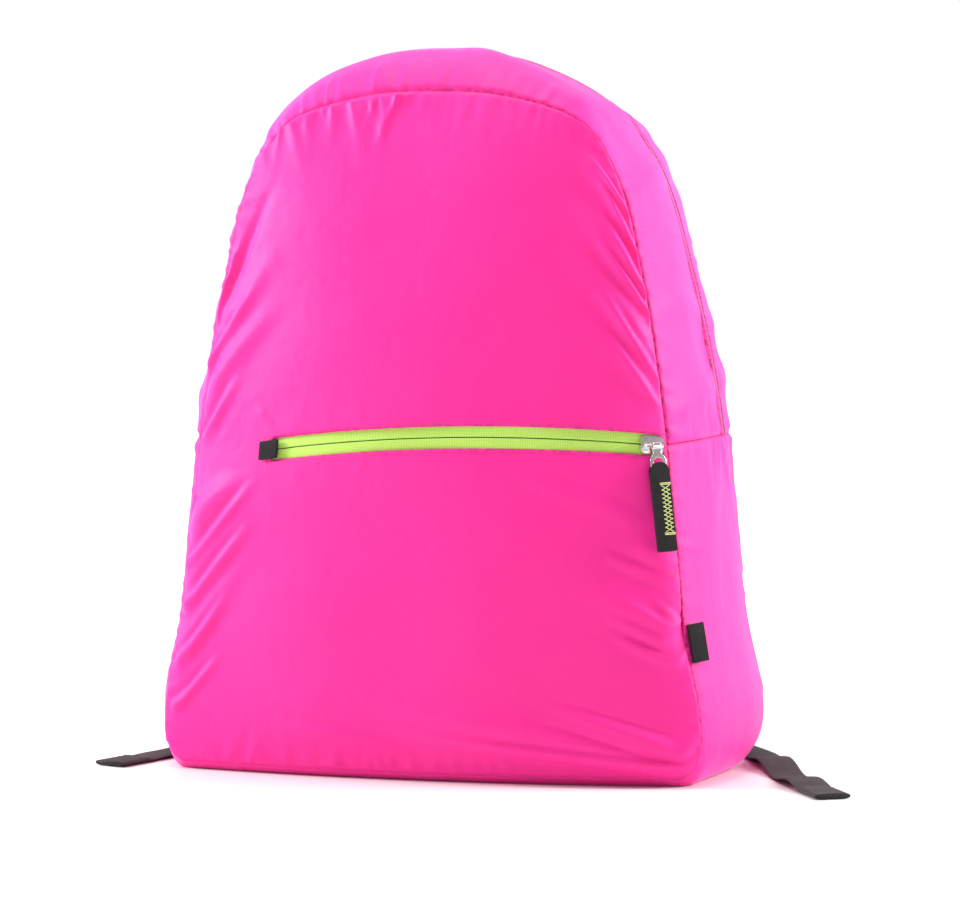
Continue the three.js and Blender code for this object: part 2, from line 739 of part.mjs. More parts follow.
// The slider: a face plate, a back plate behind the tapes, a post between them and a bridge for the pull
const plateTop = sliderSeat + sliderWall;
const barHeight = plateTop + bridgeRise - bridgeWire / 2;
const ringOuter = bridgeWire / 2 + pullEyeClear + pullEyeWall;
const legAt = (bridgeLength - bridgeWire) / 2;

function sliderBody() {
  const face = plate(sliderLength, sliderWidth, 3, sliderWall, -plateTop);
  const back = plate(sliderLength - 4, sliderWidth - 2, 3, sliderBack, tapeWall + sliderBackGap);
  const postDepth = plateTop + tapeWall + sliderBackGap + 0.2;
  const post = box(sliderPost, postDepth, sliderPost, 0, postDepth / 2 - plateTop + 0.4, 0);
  const leg = (x) =>
    box(bridgeWire, barHeight - plateTop + 0.4, bridgeWidth, x, -(barHeight + plateTop - 0.4) / 2, 0);
  const bar = new THREE.CylinderGeometry(bridgeWire / 2, bridgeWire / 2, bridgeLength, 12)
    .rotateZ(Math.PI / 2)
    .translate(0, -barHeight, 0);
  return atSlider(join(face, back, post, leg(-legAt), leg(legAt), bar));
}
add("pocket_zip_slider", sliderBody(), "nickel");

// The pull hangs from the bridge.
// Its tab is a folded strip that takes the pull's lower rim between its layers.
const pullPlace = new THREE.Matrix4()
  .copy(slider)
  .multiply(new THREE.Matrix4().makeTranslation(pullShift, -barHeight, 0))
  .multiply(new THREE.Matrix4().makeRotationX(radians(-pullLean)))
  .multiply(new THREE.Matrix4().makeRotationY(radians(-pullSwing)));
const atPull = (geometry) => geometry.applyMatrix4(pullPlace);
const pullHoleZ = -pullLength + pullRim + pullHole / 2;
const tabSlot = pullWall + 2 * seamGap;
const tabThickness = 2 * tabWall + tabSlot;
const tabTopZ = pullHoleZ + 0.2;

// A round pin along Y.
const pin = (radius, length, z) => new THREE.CylinderGeometry(radius, radius, length, 14).translate(0, 0, z);

function pull() {
  const eye = new THREE.CylinderGeometry(ringOuter, ringOuter, pullNeck, 14).rotateZ(Math.PI / 2);
  const bore = new THREE.CylinderGeometry(ringOuter - pullEyeWall, ringOuter - pullEyeWall, pullNeck + 2, 14);
  const wideHeight = pullHole + 2 * pullRim;
  const wide = plate(pullWidth, wideHeight, 3.6, pullWall, -pullWall / 2);
  const neckHeight = pullLength - wideHeight;
  const neck = box(pullNeck, pullWall, neckHeight, 0, 0, -neckHeight / 2 - 1);
  return atPull(
    cut(
      join(eye, neck, wide.translate(0, 0, -pullLength + wideHeight / 2)),
      bore.rotateZ(Math.PI / 2),
      pin(pullHole / 2, 6, pullHoleZ),
    ),
  );
}

function pullTab() {
  const slab = plate(tabWidth, tabLength, 1.2, tabThickness, -tabThickness / 2, tabWidth / 2 - 0.6);
  const slotDepth = tabTopZ + pullLength + seamGap;
  const slot = box(tabWidth + 2, tabSlot, 2 * slotDepth, 0, 0, tabTopZ);
  return atPull(
    join(
      cut(slab.translate(0, 0, tabTopZ - tabLength / 2), slot),
      pin(tabStub / 2, tabThickness - 0.6, pullHoleZ - tabStub / 2),
    ),
  );
}
add("pocket_zip_pull", pull(), "nickel");
add("pull_tab", pullTab(), "blackWebbing");

// The square tab over the zip's left end
function endTab() {
  const half = endTabLength / 2 / baseHalfWidth;
  const halfUp = endTabWidth / 2 / archHeight;
  const middle = zipLeftEnd - 0.01;
  const lifted = (u, v) => {
    const axes = placeOn(frontPoint, u, v).elements;
    const inward = new THREE.Vector3(axes[4], axes[5], axes[6]);
    return frontPoint(u, v).addScaledVector(inward, -endTabWall);
  };
  const grid = range(4, middle - half, middle + half).map((u) =>
    range(3, zipLine(u) - halfUp, zipLine(u) + halfUp).map((v) => lifted(u, v)),
  );
  return clothSolid(grid, { wall: endTabWall - seamGap });
}
add("zip_end_tab", endTab(), "blackWebbing");

// The folded label in the right side seam
function sideLabel() {
  const s = outlineAtHeight(labelHeight);
  const n = outlineNormal(s);
  const out = new THREE.Vector3(n.x, 0, n.z);
  const root = gussetPoint(s, 0).addScaledVector(out, 1.3);
  const back = new THREE.Vector3(0, 1, 0);
  const lift = radians(labelLift) + Math.atan2(swell(s, 0.15), 0.15 * depthAt(s));
  const reach = back.clone().multiplyScalar(Math.cos(lift)).addScaledVector(out, Math.sin(lift));
  const across = out.clone().multiplyScalar(Math.cos(lift)).addScaledVector(back, -Math.sin(lift));
  const bend = labelWall * 0.85;
  const straight = labelReach - bend - labelWall / 2;
  const at = (along, side) => root.clone().addScaledVector(reach, along).addScaledVector(across, side);
  const path = [
    ...range(3, 0.4, straight).map((a) => at(a, -bend * lerp(0.85, 1, a / straight))),
    ...range(5, -75, 75).map((d) =>
      at(straight + bend * Math.cos(radians(d)), bend * Math.sin(radians(d))),
    ),
    ...range(3, straight, 0.4).map((a) => at(a, bend * lerp(0.85, 1, a / straight))),
  ];
  const side = new THREE.Vector3(-n.z, 0, n.x);
  return bandSolid(path.map((point) => ({ point, side, half: labelLength / 2, wall: labelWall })));
}
add("side_label", sideLabel(), "blackWebbing");

// Where a back panel place (x, z) lies in Y.
function backSurface(x, z) {
  let [u, v] = [x / baseHalfWidth, z / archHeight];
  for (let i = 0; i < 30; i++) {
    const p = backPoint(u, v);
    u += (x - p.x) / baseHalfWidth;
    v += (z - p.z) / archHeight;
  }
  return backPoint(u, v).y;
}

// The right strap's middle line: out runs from its top end to its foot and up from its foot to its top end.
// off is its distance from the back panel, as a share of strapBulge.
const strapRows = [
  { out: 0, up: 1, off: 0 },
  { out: 0, up: 0.932, off: 0 },
  { out: 0.033, up: 0.856, off: 0.147 },
  { out: 0.1, up: 0.758, off: 0.47 },
  { out: 0.233, up: 0.625, off: 0.824 },
  { out: 0.433, up: 0.473, off: 1 },
  { out: 0.667, up: 0.322, off: 0.97 },
  { out: 0.85, up: 0.17, off: 0.824 },
];
const strapEnd = new THREE.Vector3(
  strapFootX,
  backSurface(strapFootX, strapFootZ) + strapFootOff,
  strapFootZ,
);
const anchor = new THREE.Vector3(anchorX, backSurface(anchorX, anchorZ) + seamGap + webWall, anchorZ);
const lockDown = anchor.clone().add(new THREE.Vector3(0, webTurn + 0.9, 0)).sub(strapEnd).normalize();
const lockAcross = new THREE.Vector3(1, 0, 0).addScaledVector(lockDown, -lockDown.x).normalize();
const lockUp = lockDown.clone().negate();
const lockOut = lockUp.clone().cross(lockAcross);
const railBelow = 6.5;
const lockPlace = new THREE.Matrix4()
  .makeBasis(lockAcross, lockOut, lockUp)
  .setPosition(strapEnd.clone().addScaledVector(lockDown, railBelow));
const inLock = (x, y, z) => new THREE.Vector3(x, y, z).applyMatrix4(lockPlace);

// A padded strap: thick rounded cloth, narrowing to its end, with a web loop round the lock's top rail
const roundedBand = [-1, 1].flatMap((face) =>
  [[-1, 0.4], [-0.92, 1], [0.92, 1], [1, 0.4]].map(([across, out]) => [-face * across, face * out]),
);

function smoothPath(points, count) {
  const curve = new THREE.CatmullRomCurve3(points, false, "centripetal");
  return curve.getSpacedPoints(count);
}

function paddedStrap() {
  const slope = backSurface(strapTopX + 5, strapTopZ) - backSurface(strapTopX - 5, strapTopZ);
  const topSide = new THREE.Vector3(10, slope, 0).normalize();
  const points = strapRows.map((row) => {
    const x = lerp(strapTopX, strapFootX, row.out);
    const z = lerp(strapFootZ, strapTopZ, row.up);
    return new THREE.Vector3(x, backSurface(x, z) + seamGap + strapWall / 2 + row.off * strapBulge, z);
  });
  points.push(strapEnd);
  const path = smoothPath(points, 17);
  const rows = path.map((point, i) => {
    const share = i / (path.length - 1);
    const half = (strapWidth / 2) * (1 - smooth(0.62, 1, share)) + (strapNeck / 2) * smooth(0.62, 1, share);
    return { point, side: topSide.clone().lerp(lockAcross, share), half, wall: strapWall };
  });
  const turn = range(6, 0, 180).map((d) =>
    inLock(0, -webTurn * Math.cos(radians(d)), -webTurn * Math.sin(radians(d))),
  );
  const loopTop = railBelow + 9;
  const loop = [
    inLock(0, -webTurn, loopTop),
    inLock(0, -webTurn, loopTop / 2),
    ...turn,
    inLock(0, webTurn, loopTop / 2),
    inLock(0, webTurn, loopTop),
  ].map((point) => ({ point, side: lockAcross, half: webWidth / 2, wall: webWall }));
  return join(bandSolid(rows, roundedBand), bandSolid(loop));
}

// The ladder lock: a plate with two windows between three rails, the middle one carrying the web
const upperWindow = 8;
const barZ = -(lockRail / 2 + upperWindow + lockBar / 2);
const lowerWindow = lockHeight - 2 * lockRail - upperWindow - lockBar;
const windowWidth = lockWidth - 2 * lockRail;

function ladderLock() {
  const frame = plate(lockWidth, lockHeight, 3, lockWall, -lockWall / 2);
  const window = (height, z) => box(windowWidth, lockWall + 2, height, 0, 0, z);
  return cut(
    frame.translate(0, 0, lockRail / 2 - lockHeight / 2),
    window(upperWindow, -lockRail / 2 - upperWindow / 2),
    window(lowerWindow, barZ - lockBar / 2 - lowerWindow / 2),
  ).applyMatrix4(lockPlace);
}

// A web from the bag's lower corner up round the lock's middle bar and down to the ground.
// It ends in a folded hem, and its waves begin where it lies on the ground.
function strapWeb(groundPoints, waveHeight) {
  const turn = range(8, 0, 180).map((d) =>
    inLock(0, -webTurn * Math.cos(radians(d)), barZ + webTurn * Math.sin(radians(d))),
  );
  const hang = [inLock(0, webTurn, barZ - 12), inLock(0, webTurn + 0.6, barZ - 26)];
  const tail = smoothPath([...hang, ...groundPoints], 26);
  const lowest = webWall / 2 + groundGap;
  tail.forEach((point, i) => {
    const share = i / (tail.length - 1);
    const lying = smooth(0.45, 0.55, share) * (1 - smooth(0.84, 0.97, share));
    point.z = Math.max(point.z, lowest) + waveHeight * lying * (1 - Math.cos((share - 0.5) * 8 * Math.PI));
  });
  const inFrame = [anchor, inLock(0, -webTurn, barZ - 14), ...turn];
  const band = (point, side, wall) => ({ point, side, half: webWidth / 2, wall });
  const heading = groundPoints[5].clone().sub(groundPoints[3]).setZ(0).normalize();
  const flat = new THREE.Vector3(-heading.y, heading.x, 0);
  const hemRows = 3;
  const hemZ = hemWall / 2 + groundGap;
  const hemPoints = tail.slice(-hemRows);
  const stepUp = tail.at(-hemRows - 1).clone().lerp(hemPoints[0], 0.85);
  return bandSolid([
    ...inFrame.map((point) => band(point, lockAcross, webWall)),
    ...tail.slice(0, -hemRows).map((point, i) =>
      band(point, lockAcross.clone().lerp(flat, Math.min(1, i / 6)), webWall),
    ),
    band(stepUp.setZ(lowest), flat, webWall),
    ...hemPoints.map((point) => band(point.setZ(hemZ), flat, hemWall)),
  ]);
}

// The webs' places below the locks, in mm past the bag's half width and behind the back seam.
// up is a share of the strap's foot's height.
const rightGround = [
  { past: -32, behind: 35, up: 0.44 },
  { past: -21, behind: 43, up: 0.19 },
  { past: -19, behind: 43.5, up: 0.076 },
  { past: -16.5, behind: 39, up: 0.0167 },
  { past: -11, behind: 29, up: 0.0076 },
  { past: 10, behind: -6, up: 0.0076 },
  { past: 29, behind: -56, up: 0.0076 },
  { past: 56, behind: -122, up: 0.0076 },
  { past: 82, behind: -168, up: 0.0076 },
];
const leftGround = [
  ...rightGround.slice(0, 4),
  { past: -10, behind: 27, up: 0.0076 },
  { past: 6, behind: -18, up: 0.0076 },
  { past: 12, behind: -68, up: 0.0076 },
  { past: 21, behind: -112, up: 0.0076 },
  { past: 34, behind: -150, up: 0.0076 },
];
const places = (rows) =>
  rows.map(
    (row) => new THREE.Vector3(baseHalfWidth + row.past, backSeamY + row.behind, strapFootZ * row.up),
  );

const strap = paddedStrap();
const lock = ladderLock();
add("shoulder_strap_right", strap, "pinkNylon");
add("shoulder_strap_left", mirrored(strap), "pinkNylon");
add("ladder_lock_right", lock, "blackPlastic");
add("ladder_lock_left", mirrored(lock), "blackPlastic");
add("strap_web_right", strapWeb(places(rightGround), 2.2), "greyWebbing");
add("strap_web_left", mirrored(strapWeb(places(leftGround), 0.4)), "greyWebbing");

// The main zip's slider, parked at the left end of its zip
function mainZipSlider() {
  const s = 1 - sideSeamAt - 14 / outlineLength;
  const t = mainZipDepth;
  const at = gussetPoint(s, t, weltHeight);
  const along = gussetPoint(s + 0.001, t).sub(gussetPoint(s - 0.001, t)).normalize();
  const across = gussetPoint(s, t + 0.01).sub(gussetPoint(s, t - 0.01));
  const inward = along.clone().cross(across).normalize();
  const place = new THREE.Matrix4()
    .makeBasis(along, inward, along.clone().cross(inward))
    .setPosition(at);
  const face = plate(sliderLength, sliderWidth, 3, sliderWall, -sliderWall - sliderSeat);
  const post = box(sliderPost, 2, 0.9, 0, -0.4, 0);
  const pullPlate = plate(26, 8, 3, 1.4, -sliderWall - sliderSeat - 1.2).translate(15, 0, 0);
  return join(face, post, pullPlate).applyMatrix4(place);
}
add("main_zip_slider", mainZipSlider(), "nickel");

export default bag;
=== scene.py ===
import math
import bpy
import bmesh
import numpy as np
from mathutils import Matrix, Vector


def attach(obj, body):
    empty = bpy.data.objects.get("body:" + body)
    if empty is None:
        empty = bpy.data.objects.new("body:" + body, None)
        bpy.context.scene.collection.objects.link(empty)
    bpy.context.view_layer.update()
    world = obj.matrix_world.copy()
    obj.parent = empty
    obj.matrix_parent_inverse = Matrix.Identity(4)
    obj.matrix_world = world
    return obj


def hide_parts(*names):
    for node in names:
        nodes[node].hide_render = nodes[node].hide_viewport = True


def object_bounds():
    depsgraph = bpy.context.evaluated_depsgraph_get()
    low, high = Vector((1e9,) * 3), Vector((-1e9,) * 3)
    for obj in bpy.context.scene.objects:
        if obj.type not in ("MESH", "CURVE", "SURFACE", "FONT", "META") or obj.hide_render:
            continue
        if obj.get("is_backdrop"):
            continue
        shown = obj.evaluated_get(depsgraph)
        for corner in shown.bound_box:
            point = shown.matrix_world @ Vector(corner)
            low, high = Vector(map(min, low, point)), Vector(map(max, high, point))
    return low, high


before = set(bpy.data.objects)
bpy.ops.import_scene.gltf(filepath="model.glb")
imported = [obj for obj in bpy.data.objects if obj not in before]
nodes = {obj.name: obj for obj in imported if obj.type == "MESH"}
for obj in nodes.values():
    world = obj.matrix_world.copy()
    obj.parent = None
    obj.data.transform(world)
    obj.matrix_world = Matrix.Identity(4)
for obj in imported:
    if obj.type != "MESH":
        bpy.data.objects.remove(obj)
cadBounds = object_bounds()
print("frame loaded")

# the bag's driving sizes in millimetres, the same as in the part's source
bag = {
    "archHeight": 414, "baseHalfWidth": 168, "seamLift": 5,
    "frontSeamY": -75, "frontLean": 13, "frontBow": 18, "bowHeight": 120,
    "backSeamY": 70, "backLean": 8, "domeDepth": 36, "backDome": 9,
    "sideSwell": 17, "upperSwell": 11, "topSwell": 27, "shoulderSwell": 10,
    "crownHalf": 106, "crownShift": 15, "baseDrop": 7,
    "panelInset": 0.48, "backInset": 0.78, "cornerAt": 0.135,
    "sideSeamHeight": 203, "mainZipDepth": 0.62,
    "zipHeight": 207.5, "zipPeakAt": 0.3, "zipFall": 12, "zipWindow": 13,
    "zipLeftEnd": -0.592, "zipRightEnd": 0.975,
}
gussetDepth = bag["backSeamY"] - bag["frontSeamY"]
panelRise = 400
domeUp = [(0, 0), (0.12, 0.56), (0.28, 0.97), (0.5, 0.96), (0.72, 0.76), (0.91, 0.34), (1, 0)]
swellSide = [(0, 0), (0.15, 0.42), (0.35, 0.82), (0.6, 1), (0.82, 0.9), (1, 0.55)]
swellTop = [(0, 0), (0.12, 0.66), (0.28, 1), (0.55, 0.96), (0.82, 0.78), (1, 0.42)]
swellBase = [(0, 0), (0.07, 1), (0.93, 1), (1, 0)]
seamOutline = [
    (0, 0), (0.6, 0), (0.935, 0.002), (0.99, 0.032), (0.998, 0.09), (0.946, 0.2), (0.902, 0.37),
    (0.842, 0.575), (0.778, 0.725), (0.688, 0.865), (0.545, 0.952), (0.27, 0.992), (0, 1),
]


def lerp(a, b, t):
    return a + (b - a) * t


def smooth(low, high, x):
    t = np.clip((x - low) / (high - low), 0, 1)
    return t * t * (3 - 2 * t)


# a smooth value through rows of (at, value)
def profile(rows, at):
    xs, ys = np.array(rows, float).T
    chords = np.diff(ys) / np.diff(xs)
    before, after = chords[:-1], chords[1:]
    harmonic = 2 * before * after / np.where(before + after == 0, 1, before + after)
    slopes = np.concatenate([chords[:1], np.where(before * after <= 0, 0, harmonic), chords[-1:]])
    at = np.clip(np.asarray(at, float), 0, 1)
    i = np.clip(np.searchsorted(xs, at) - 1, 0, len(xs) - 2)
    span = xs[i + 1] - xs[i]
    t = (at - xs[i]) / span
    return ((2 * t**3 - 3 * t**2 + 1) * ys[i] + (t**3 - 2 * t**2 + t) * span * slopes[i]
            + (3 * t**2 - 2 * t**3) * ys[i + 1] + (t**3 - t**2) * span * slopes[i + 1])


# points at even lengths along a centripetal curve through the given ones
def curveThrough(points, count, closed=False):
    points = np.array(points, float)
    if closed:
        ring = np.vstack([points[-1], points, points[:2]])
    else:
        ring = np.vstack([2 * points[0] - points[1], points, 2 * points[-1] - points[-2]])
    pieces = []
    t = np.linspace(0, 1, 240, endpoint=False)[:, None]
    for p0, p1, p2, p3 in zip(ring[:-3], ring[1:-2], ring[2:-1], ring[3:]):
        d0, d1, d2 = (max(np.linalg.norm(b - a), 1e-6) ** 0.5 for a, b in ((p0, p1), (p1, p2), (p2, p3)))
        m1 = ((p1 - p0) / d0 - (p2 - p0) / (d0 + d1) + (p2 - p1) / d1) * d1
        m2 = ((p2 - p1) / d1 - (p3 - p1) / (d1 + d2) + (p3 - p2) / d2) * d1
        squared, cubed = -3 * p1 + 3 * p2 - 2 * m1 - m2, 2 * p1 - 2 * p2 + m1 + m2
        pieces.append(p1 + m1 * t + squared * t**2 + cubed * t**3)
    pieces.append(ring[-2][None, :])
    dense = np.vstack(pieces)
    lengths = np.concatenate([[0], np.cumsum(np.linalg.norm(np.diff(dense, axis=0), axis=1))])
    at = np.linspace(0, lengths[-1], count + 1)
    return np.stack([np.interp(at, lengths, dense[:, k]) for k in range(dense.shape[1])], axis=1), lengths[-1]


outlineSteps = 6000
seamRise = bag["archHeight"] - bag["seamLift"]
rightHalf = [(x * bag["baseHalfWidth"], bag["seamLift"] + z * seamRise) for x, z in seamOutline]
leftHalf = [(-x, z) for x, z in rightHalf[1:-1][::-1]]
outlineTable, outlineLength = curveThrough(rightHalf + leftHalf, outlineSteps, closed=True)


# the front seam's outline: s runs from the base's middle to the right, over the arch and back
def outline(s):
    s = np.mod(np.asarray(s, float), 1) * outlineSteps
    i = np.floor(s).astype(int) % outlineSteps
    f = (s - np.floor(s))[..., None]
    p = outlineTable[i] * (1 - f) + outlineTable[i + 1] * f
    return p[..., 0], np.maximum(p[..., 1], bag["seamLift"])


def outlineNormal(s):
    (ax, az), (bx, bz) = outline(s - 0.004), outline(s + 0.004)
    length = np.hypot(bx - ax, bz - az)
    return (bz - az) / length, -(bx - ax) / length


def outlineAtHeight(z):
    s = np.linspace(0.15, 0.5, 4000)
    return float(np.interp(z, outline(s)[1], s))


shoulderAt = outlineAtHeight(bag["archHeight"] * 0.93)
sideSeamAt = outlineAtHeight(bag["sideSeamHeight"])


def seamY(x, z):
    across = np.maximum(0, 1 - (x / bag["baseHalfWidth"]) ** 2)
    bow = bag["frontBow"] * (1 - smooth(0, bag["bowHeight"], z)) * across
    return bag["frontSeamY"] + bag["frontLean"] * z / bag["archHeight"] - bow


def backY(z):
    return bag["backSeamY"] - bag["backLean"] * z / bag["archHeight"]


# a patch between four stretches of an outline, u from -1 to 1 across and v from 0 to 1 up
def patch(edge, u, v):
    k = (u + 1) / 2
    along = lerp(bag["cornerAt"], shoulderAt, v)
    base, top = edge(bag["cornerAt"] * u), edge(0.5 - (0.5 - shoulderAt) * u)
    left, right = edge(1 - along), edge(along)
    cornerPlaces = (1 - bag["cornerAt"], bag["cornerAt"], 1 - shoulderAt, shoulderAt)
    lowLeft, lowRight, highLeft, highRight = (edge(np.full_like(u, place)) for place in cornerPlaces)
    both = []
    for a in (0, 1):
        between = lerp(lerp(lowLeft[a], lowRight[a], k), lerp(highLeft[a], highRight[a], k), v)
        both.append(lerp(base[a], top[a], v) + lerp(left[a], right[a], k) - between)
    return both


def insetEdge(inset):
    def edge(s):
        (x, z), (nx, nz) = outline(s), outlineNormal(s)
        return x - nx * inset, z - nz * inset
    return edge


panelEdge = insetEdge(bag["panelInset"] * 0.5)


def zipSolve(u):
    height = bag["zipHeight"] - bag["zipFall"] * (u - bag["zipPeakAt"]) ** 2
    v = height / bag["archHeight"]
    for _ in range(6):
        v = v + (height - patch(panelEdge, u, v)[1]) / bag["archHeight"]
    return v


zipTableU = np.linspace(-1.06, 1.06, 400)
zipTableV = zipSolve(zipTableU)


def zipLine(u):
    return np.interp(u, zipTableU, zipTableV)


# folds of cloth: a ridge, with a sharper trough beside it where tuck isn't 0
def ridges(u, v, folds, widthAt, height, tuck=0.0):
    total = np.zeros_like(u)
    for across, up, toAcross, toUp, halfWidth, rise in folds:
        ax, az = across * widthAt, up * height
        dx, dz = toAcross * widthAt - ax, toUp * height - az
        px, pz = u * widthAt - ax, v * height - az
        length = np.hypot(dx, dz)
        t = (px * dx + pz * dz) / length**2
        off = (px * dz - pz * dx) / length
        side = np.sign(dx) * off / halfWidth
        fold = np.exp(-side**2) - tuck * np.exp(-(((side + 1.15) / 0.6) ** 2))
        total += rise * smooth(-0.25, 0.45, t) * (1 - smooth(0.98, 1.25, t)) * fold
    return total


# short gathers that start at a seam: along is the place on it and away the distance from it
def puckers(along, away, seed, every, reach, rise, wide=(2.2, 5.5), where=None):
    rng = np.random.default_rng(seed)
    low, high = float(along.min()), float(along.max())
    total = np.zeros_like(along)
    place = low - every
    while place < high + every:
        place += every * rng.uniform(0.55, 1.5)
        width = rng.uniform(*wide)
        long = reach * rng.uniform(0.3, 1.0) ** 1.3
        tall = rise * rng.uniform(0.25, 1.0)
        slant = rng.normal(0, 0.22)
        share = 1.0 if where is None else where(place)
        off = (along - place - slant * away) / (width * (1 + 0.6 * away / reach))
        total += share * tall * np.exp(-off**2) * smooth(0.5, 4, away) * np.exp(-((away / long) ** 2))
    return total


# slow uneven swelling, from a few seeded waves
def drift(x, y, seed, size, count=9):
    rng = np.random.default_rng(seed)
    total = np.zeros_like(x)
    for _ in range(count):
        angle = rng.uniform(0, math.tau)
        scale = size * rng.uniform(0.6, 1.6)
        phase = rng.uniform(0, math.tau)
        total += np.sin((x * math.cos(angle) + y * math.sin(angle)) * math.tau / scale + phase)
    return total / math.sqrt(count)


# one output socket of a material, so that its maths reads as an expression
class Value:
    def __init__(self, finish, socket):
        self.finish, self.socket = finish, socket

    def use(self, operation, other=None, swapped=False):
        terms = [self] if other is None else [other, self] if swapped else [self, other]
        return self.finish.node("ShaderNodeMath", {"operation": operation}, dict(enumerate(terms)))

    def __add__(self, other):
        return self.use("ADD", other)

    def __radd__(self, other):
        return self.use("ADD", other, True)

    def __sub__(self, other):
        return self.use("SUBTRACT", other)

    def __rsub__(self, other):
        return self.use("SUBTRACT", other, True)

    def __mul__(self, other):
        return self.use("MULTIPLY", other)

    def __rmul__(self, other):
        return self.use("MULTIPLY", other, True)

    def sine(self):
        return self.use("SINE")

    def root(self):
        return self.use("SQRT")


class Finish:
    def __init__(self, name):
        self.material = bpy.data.materials.new(name)
        self.material.use_nodes = True
        self.tree = self.material.node_tree
        self.tree.nodes.clear()
        self.shader = self.tree.nodes.new("ShaderNodeBsdfPrincipled")
        output = self.tree.nodes.new("ShaderNodeOutputMaterial")
        self.tree.links.new(self.shader.outputs[0], output.inputs["Surface"])

    # a node from its type, its settings and its sockets' values or links
    def node(self, kind, settings=None, sockets=None, output=0):
        made = self.tree.nodes.new(kind)
        for key, value in (settings or {}).items():
            if key == "stops":
                while len(made.color_ramp.elements) < len(value):
                    made.color_ramp.elements.new(0.5)
                for element, (place, color) in zip(made.color_ramp.elements, value):
                    element.position, element.color = place, color
            else:
                setattr(made, key, value)
        for key, value in (sockets or {}).items():
            if isinstance(value, Value):
                self.tree.links.new(value.socket, made.inputs[key])
            else:
                made.inputs[key].default_value = value
        return Value(self, made.outputs[output])

    def place(self, uv=False):
        if uv:
            return self.node("ShaderNodeUVMap", {"uv_map": "weave"})
        return self.node("ShaderNodeTexCoord", output="Object")

    def axes(self, vector):
        return [self.node("ShaderNodeSeparateXYZ", None, {0: vector}, output=k) for k in range(3)]

    def noise(self, vector, scale, detail=3, roughness=0.55, distortion=0.0):
        return self.node("ShaderNodeTexNoise", None, {
            "Vector": vector, "Scale": scale, "Detail": detail, "Roughness": roughness,
            "Distortion": distortion})

    # noise drawn out by a different scale on each axis
    def streaks(self, vector, scales, detail):
        drawn = self.node("ShaderNodeMapping", None, {"Vector": vector, "Scale": scales})
        return self.noise(drawn, 1.0, detail)

    def blend(self, share, first, second):
        return self.node("ShaderNodeMix", {"data_type": "RGBA"}, {0: share, 6: first, 7: second}, output=2)

    def ramp(self, share, low, high):
        settings = {"interpolation_type": "SMOOTHSTEP"}
        return self.node("ShaderNodeMapRange", settings, {0: share, 1: low, 2: high})

    def bump(self, height, distance, strength=1.0, below=None):
        sockets = {"Height": height, "Distance": distance, "Strength": strength}
        if below is not None:
            sockets["Normal"] = below
        return self.node("ShaderNodeBump", None, sockets)

    def finish(self, **values):
        for key, value in values.items():
            socket = self.shader.inputs[key]
            if isinstance(value, Value):
                self.tree.links.new(value.socket, socket)
            else:
                socket.default_value = value
        return self.material


def nylonFinish(name, color, deep, seam, weave=0.00052):
    f = Finish(name)
    place, cloth = f.place(), f.place(uv=True)
    along, up, _ = f.axes(cloth)
    threads = (along * (math.tau / weave)).sine() * (up * (math.tau / weave)).sine()
    slubs = f.streaks(cloth, (220, 2600, 1), 2)
    crinkle = f.noise(place, 46, 4, 0.5, 0.7)
    fine = f.noise(place, 170, 3, 0.5, 0.3)
    crease = f.node("ShaderNodeAttribute", {"attribute_name": "crease"}, output="Fac")
    cloudy = f.ramp(f.noise(place, 9, 2), 0.3, 0.7)
    pale = f.blend(cloudy * 0.35, color, tuple(min(1, c * 1.05 + 0.012) for c in color[:3]) + (1,))
    worn = f.blend(slubs * 0.12, pale, deep)
    pinches = f.noise(place, 260, 2, 0.5, 0.4)
    # painted shade: the cloth darkened towards the seam colour along seams, the zip slot and the window's
    # lip, broken into dashes by the pinches noise
    seamShaded = f.blend(crease * (0.25 + 0.75 * f.ramp(pinches, 0.42, 0.6)), worn, seam)
    normal = f.bump(crinkle, 0.0014, 0.5)
    normal = f.bump(crease * pinches, 0.0016, 0.7, normal)
    normal = f.bump(fine, 0.00025, 0.5, normal)
    normal = f.bump(threads, 0.00002, 0.5, normal)
    return f.finish(**{
        "Base Color": seamShaded, "Roughness": 0.46 + 0.16 * crinkle, "Normal": normal,
        "Specular IOR Level": 0.3, "Sheen Weight": 0.42, "Sheen Roughness": 0.4,
        "Sheen Tint": (0.95, 0.4, 1, 1)})


def tapeFinish(name, color, deep, ribs=0.0011):
    f = Finish(name)
    along, across, _ = f.axes(f.place(uv=True))
    rib = (along * (math.tau / ribs)).sine()
    cross = (across * (math.tau / 0.0009)).sine()
    height = rib * 0.6 + cross * 0.4
    speckle = f.noise(f.place(), 900, 2)
    # painted shade: the weave's grooves darkened towards the deep colour and its raised threads kept in the
    # full colour, with random speckle mixed in
    shade = f.blend(f.ramp(height + speckle, 0.2, 1.3), deep, color)
    normal = f.bump(height, 0.00006, 0.7)
    normal = f.bump(speckle, 0.00012, 0.5, normal)
    return f.finish(**{"Base Color": shade, "Roughness": 0.62 + 0.2 * speckle, "Normal": normal,
                       "Sheen Weight": 0.3, "Sheen Roughness": 0.5})


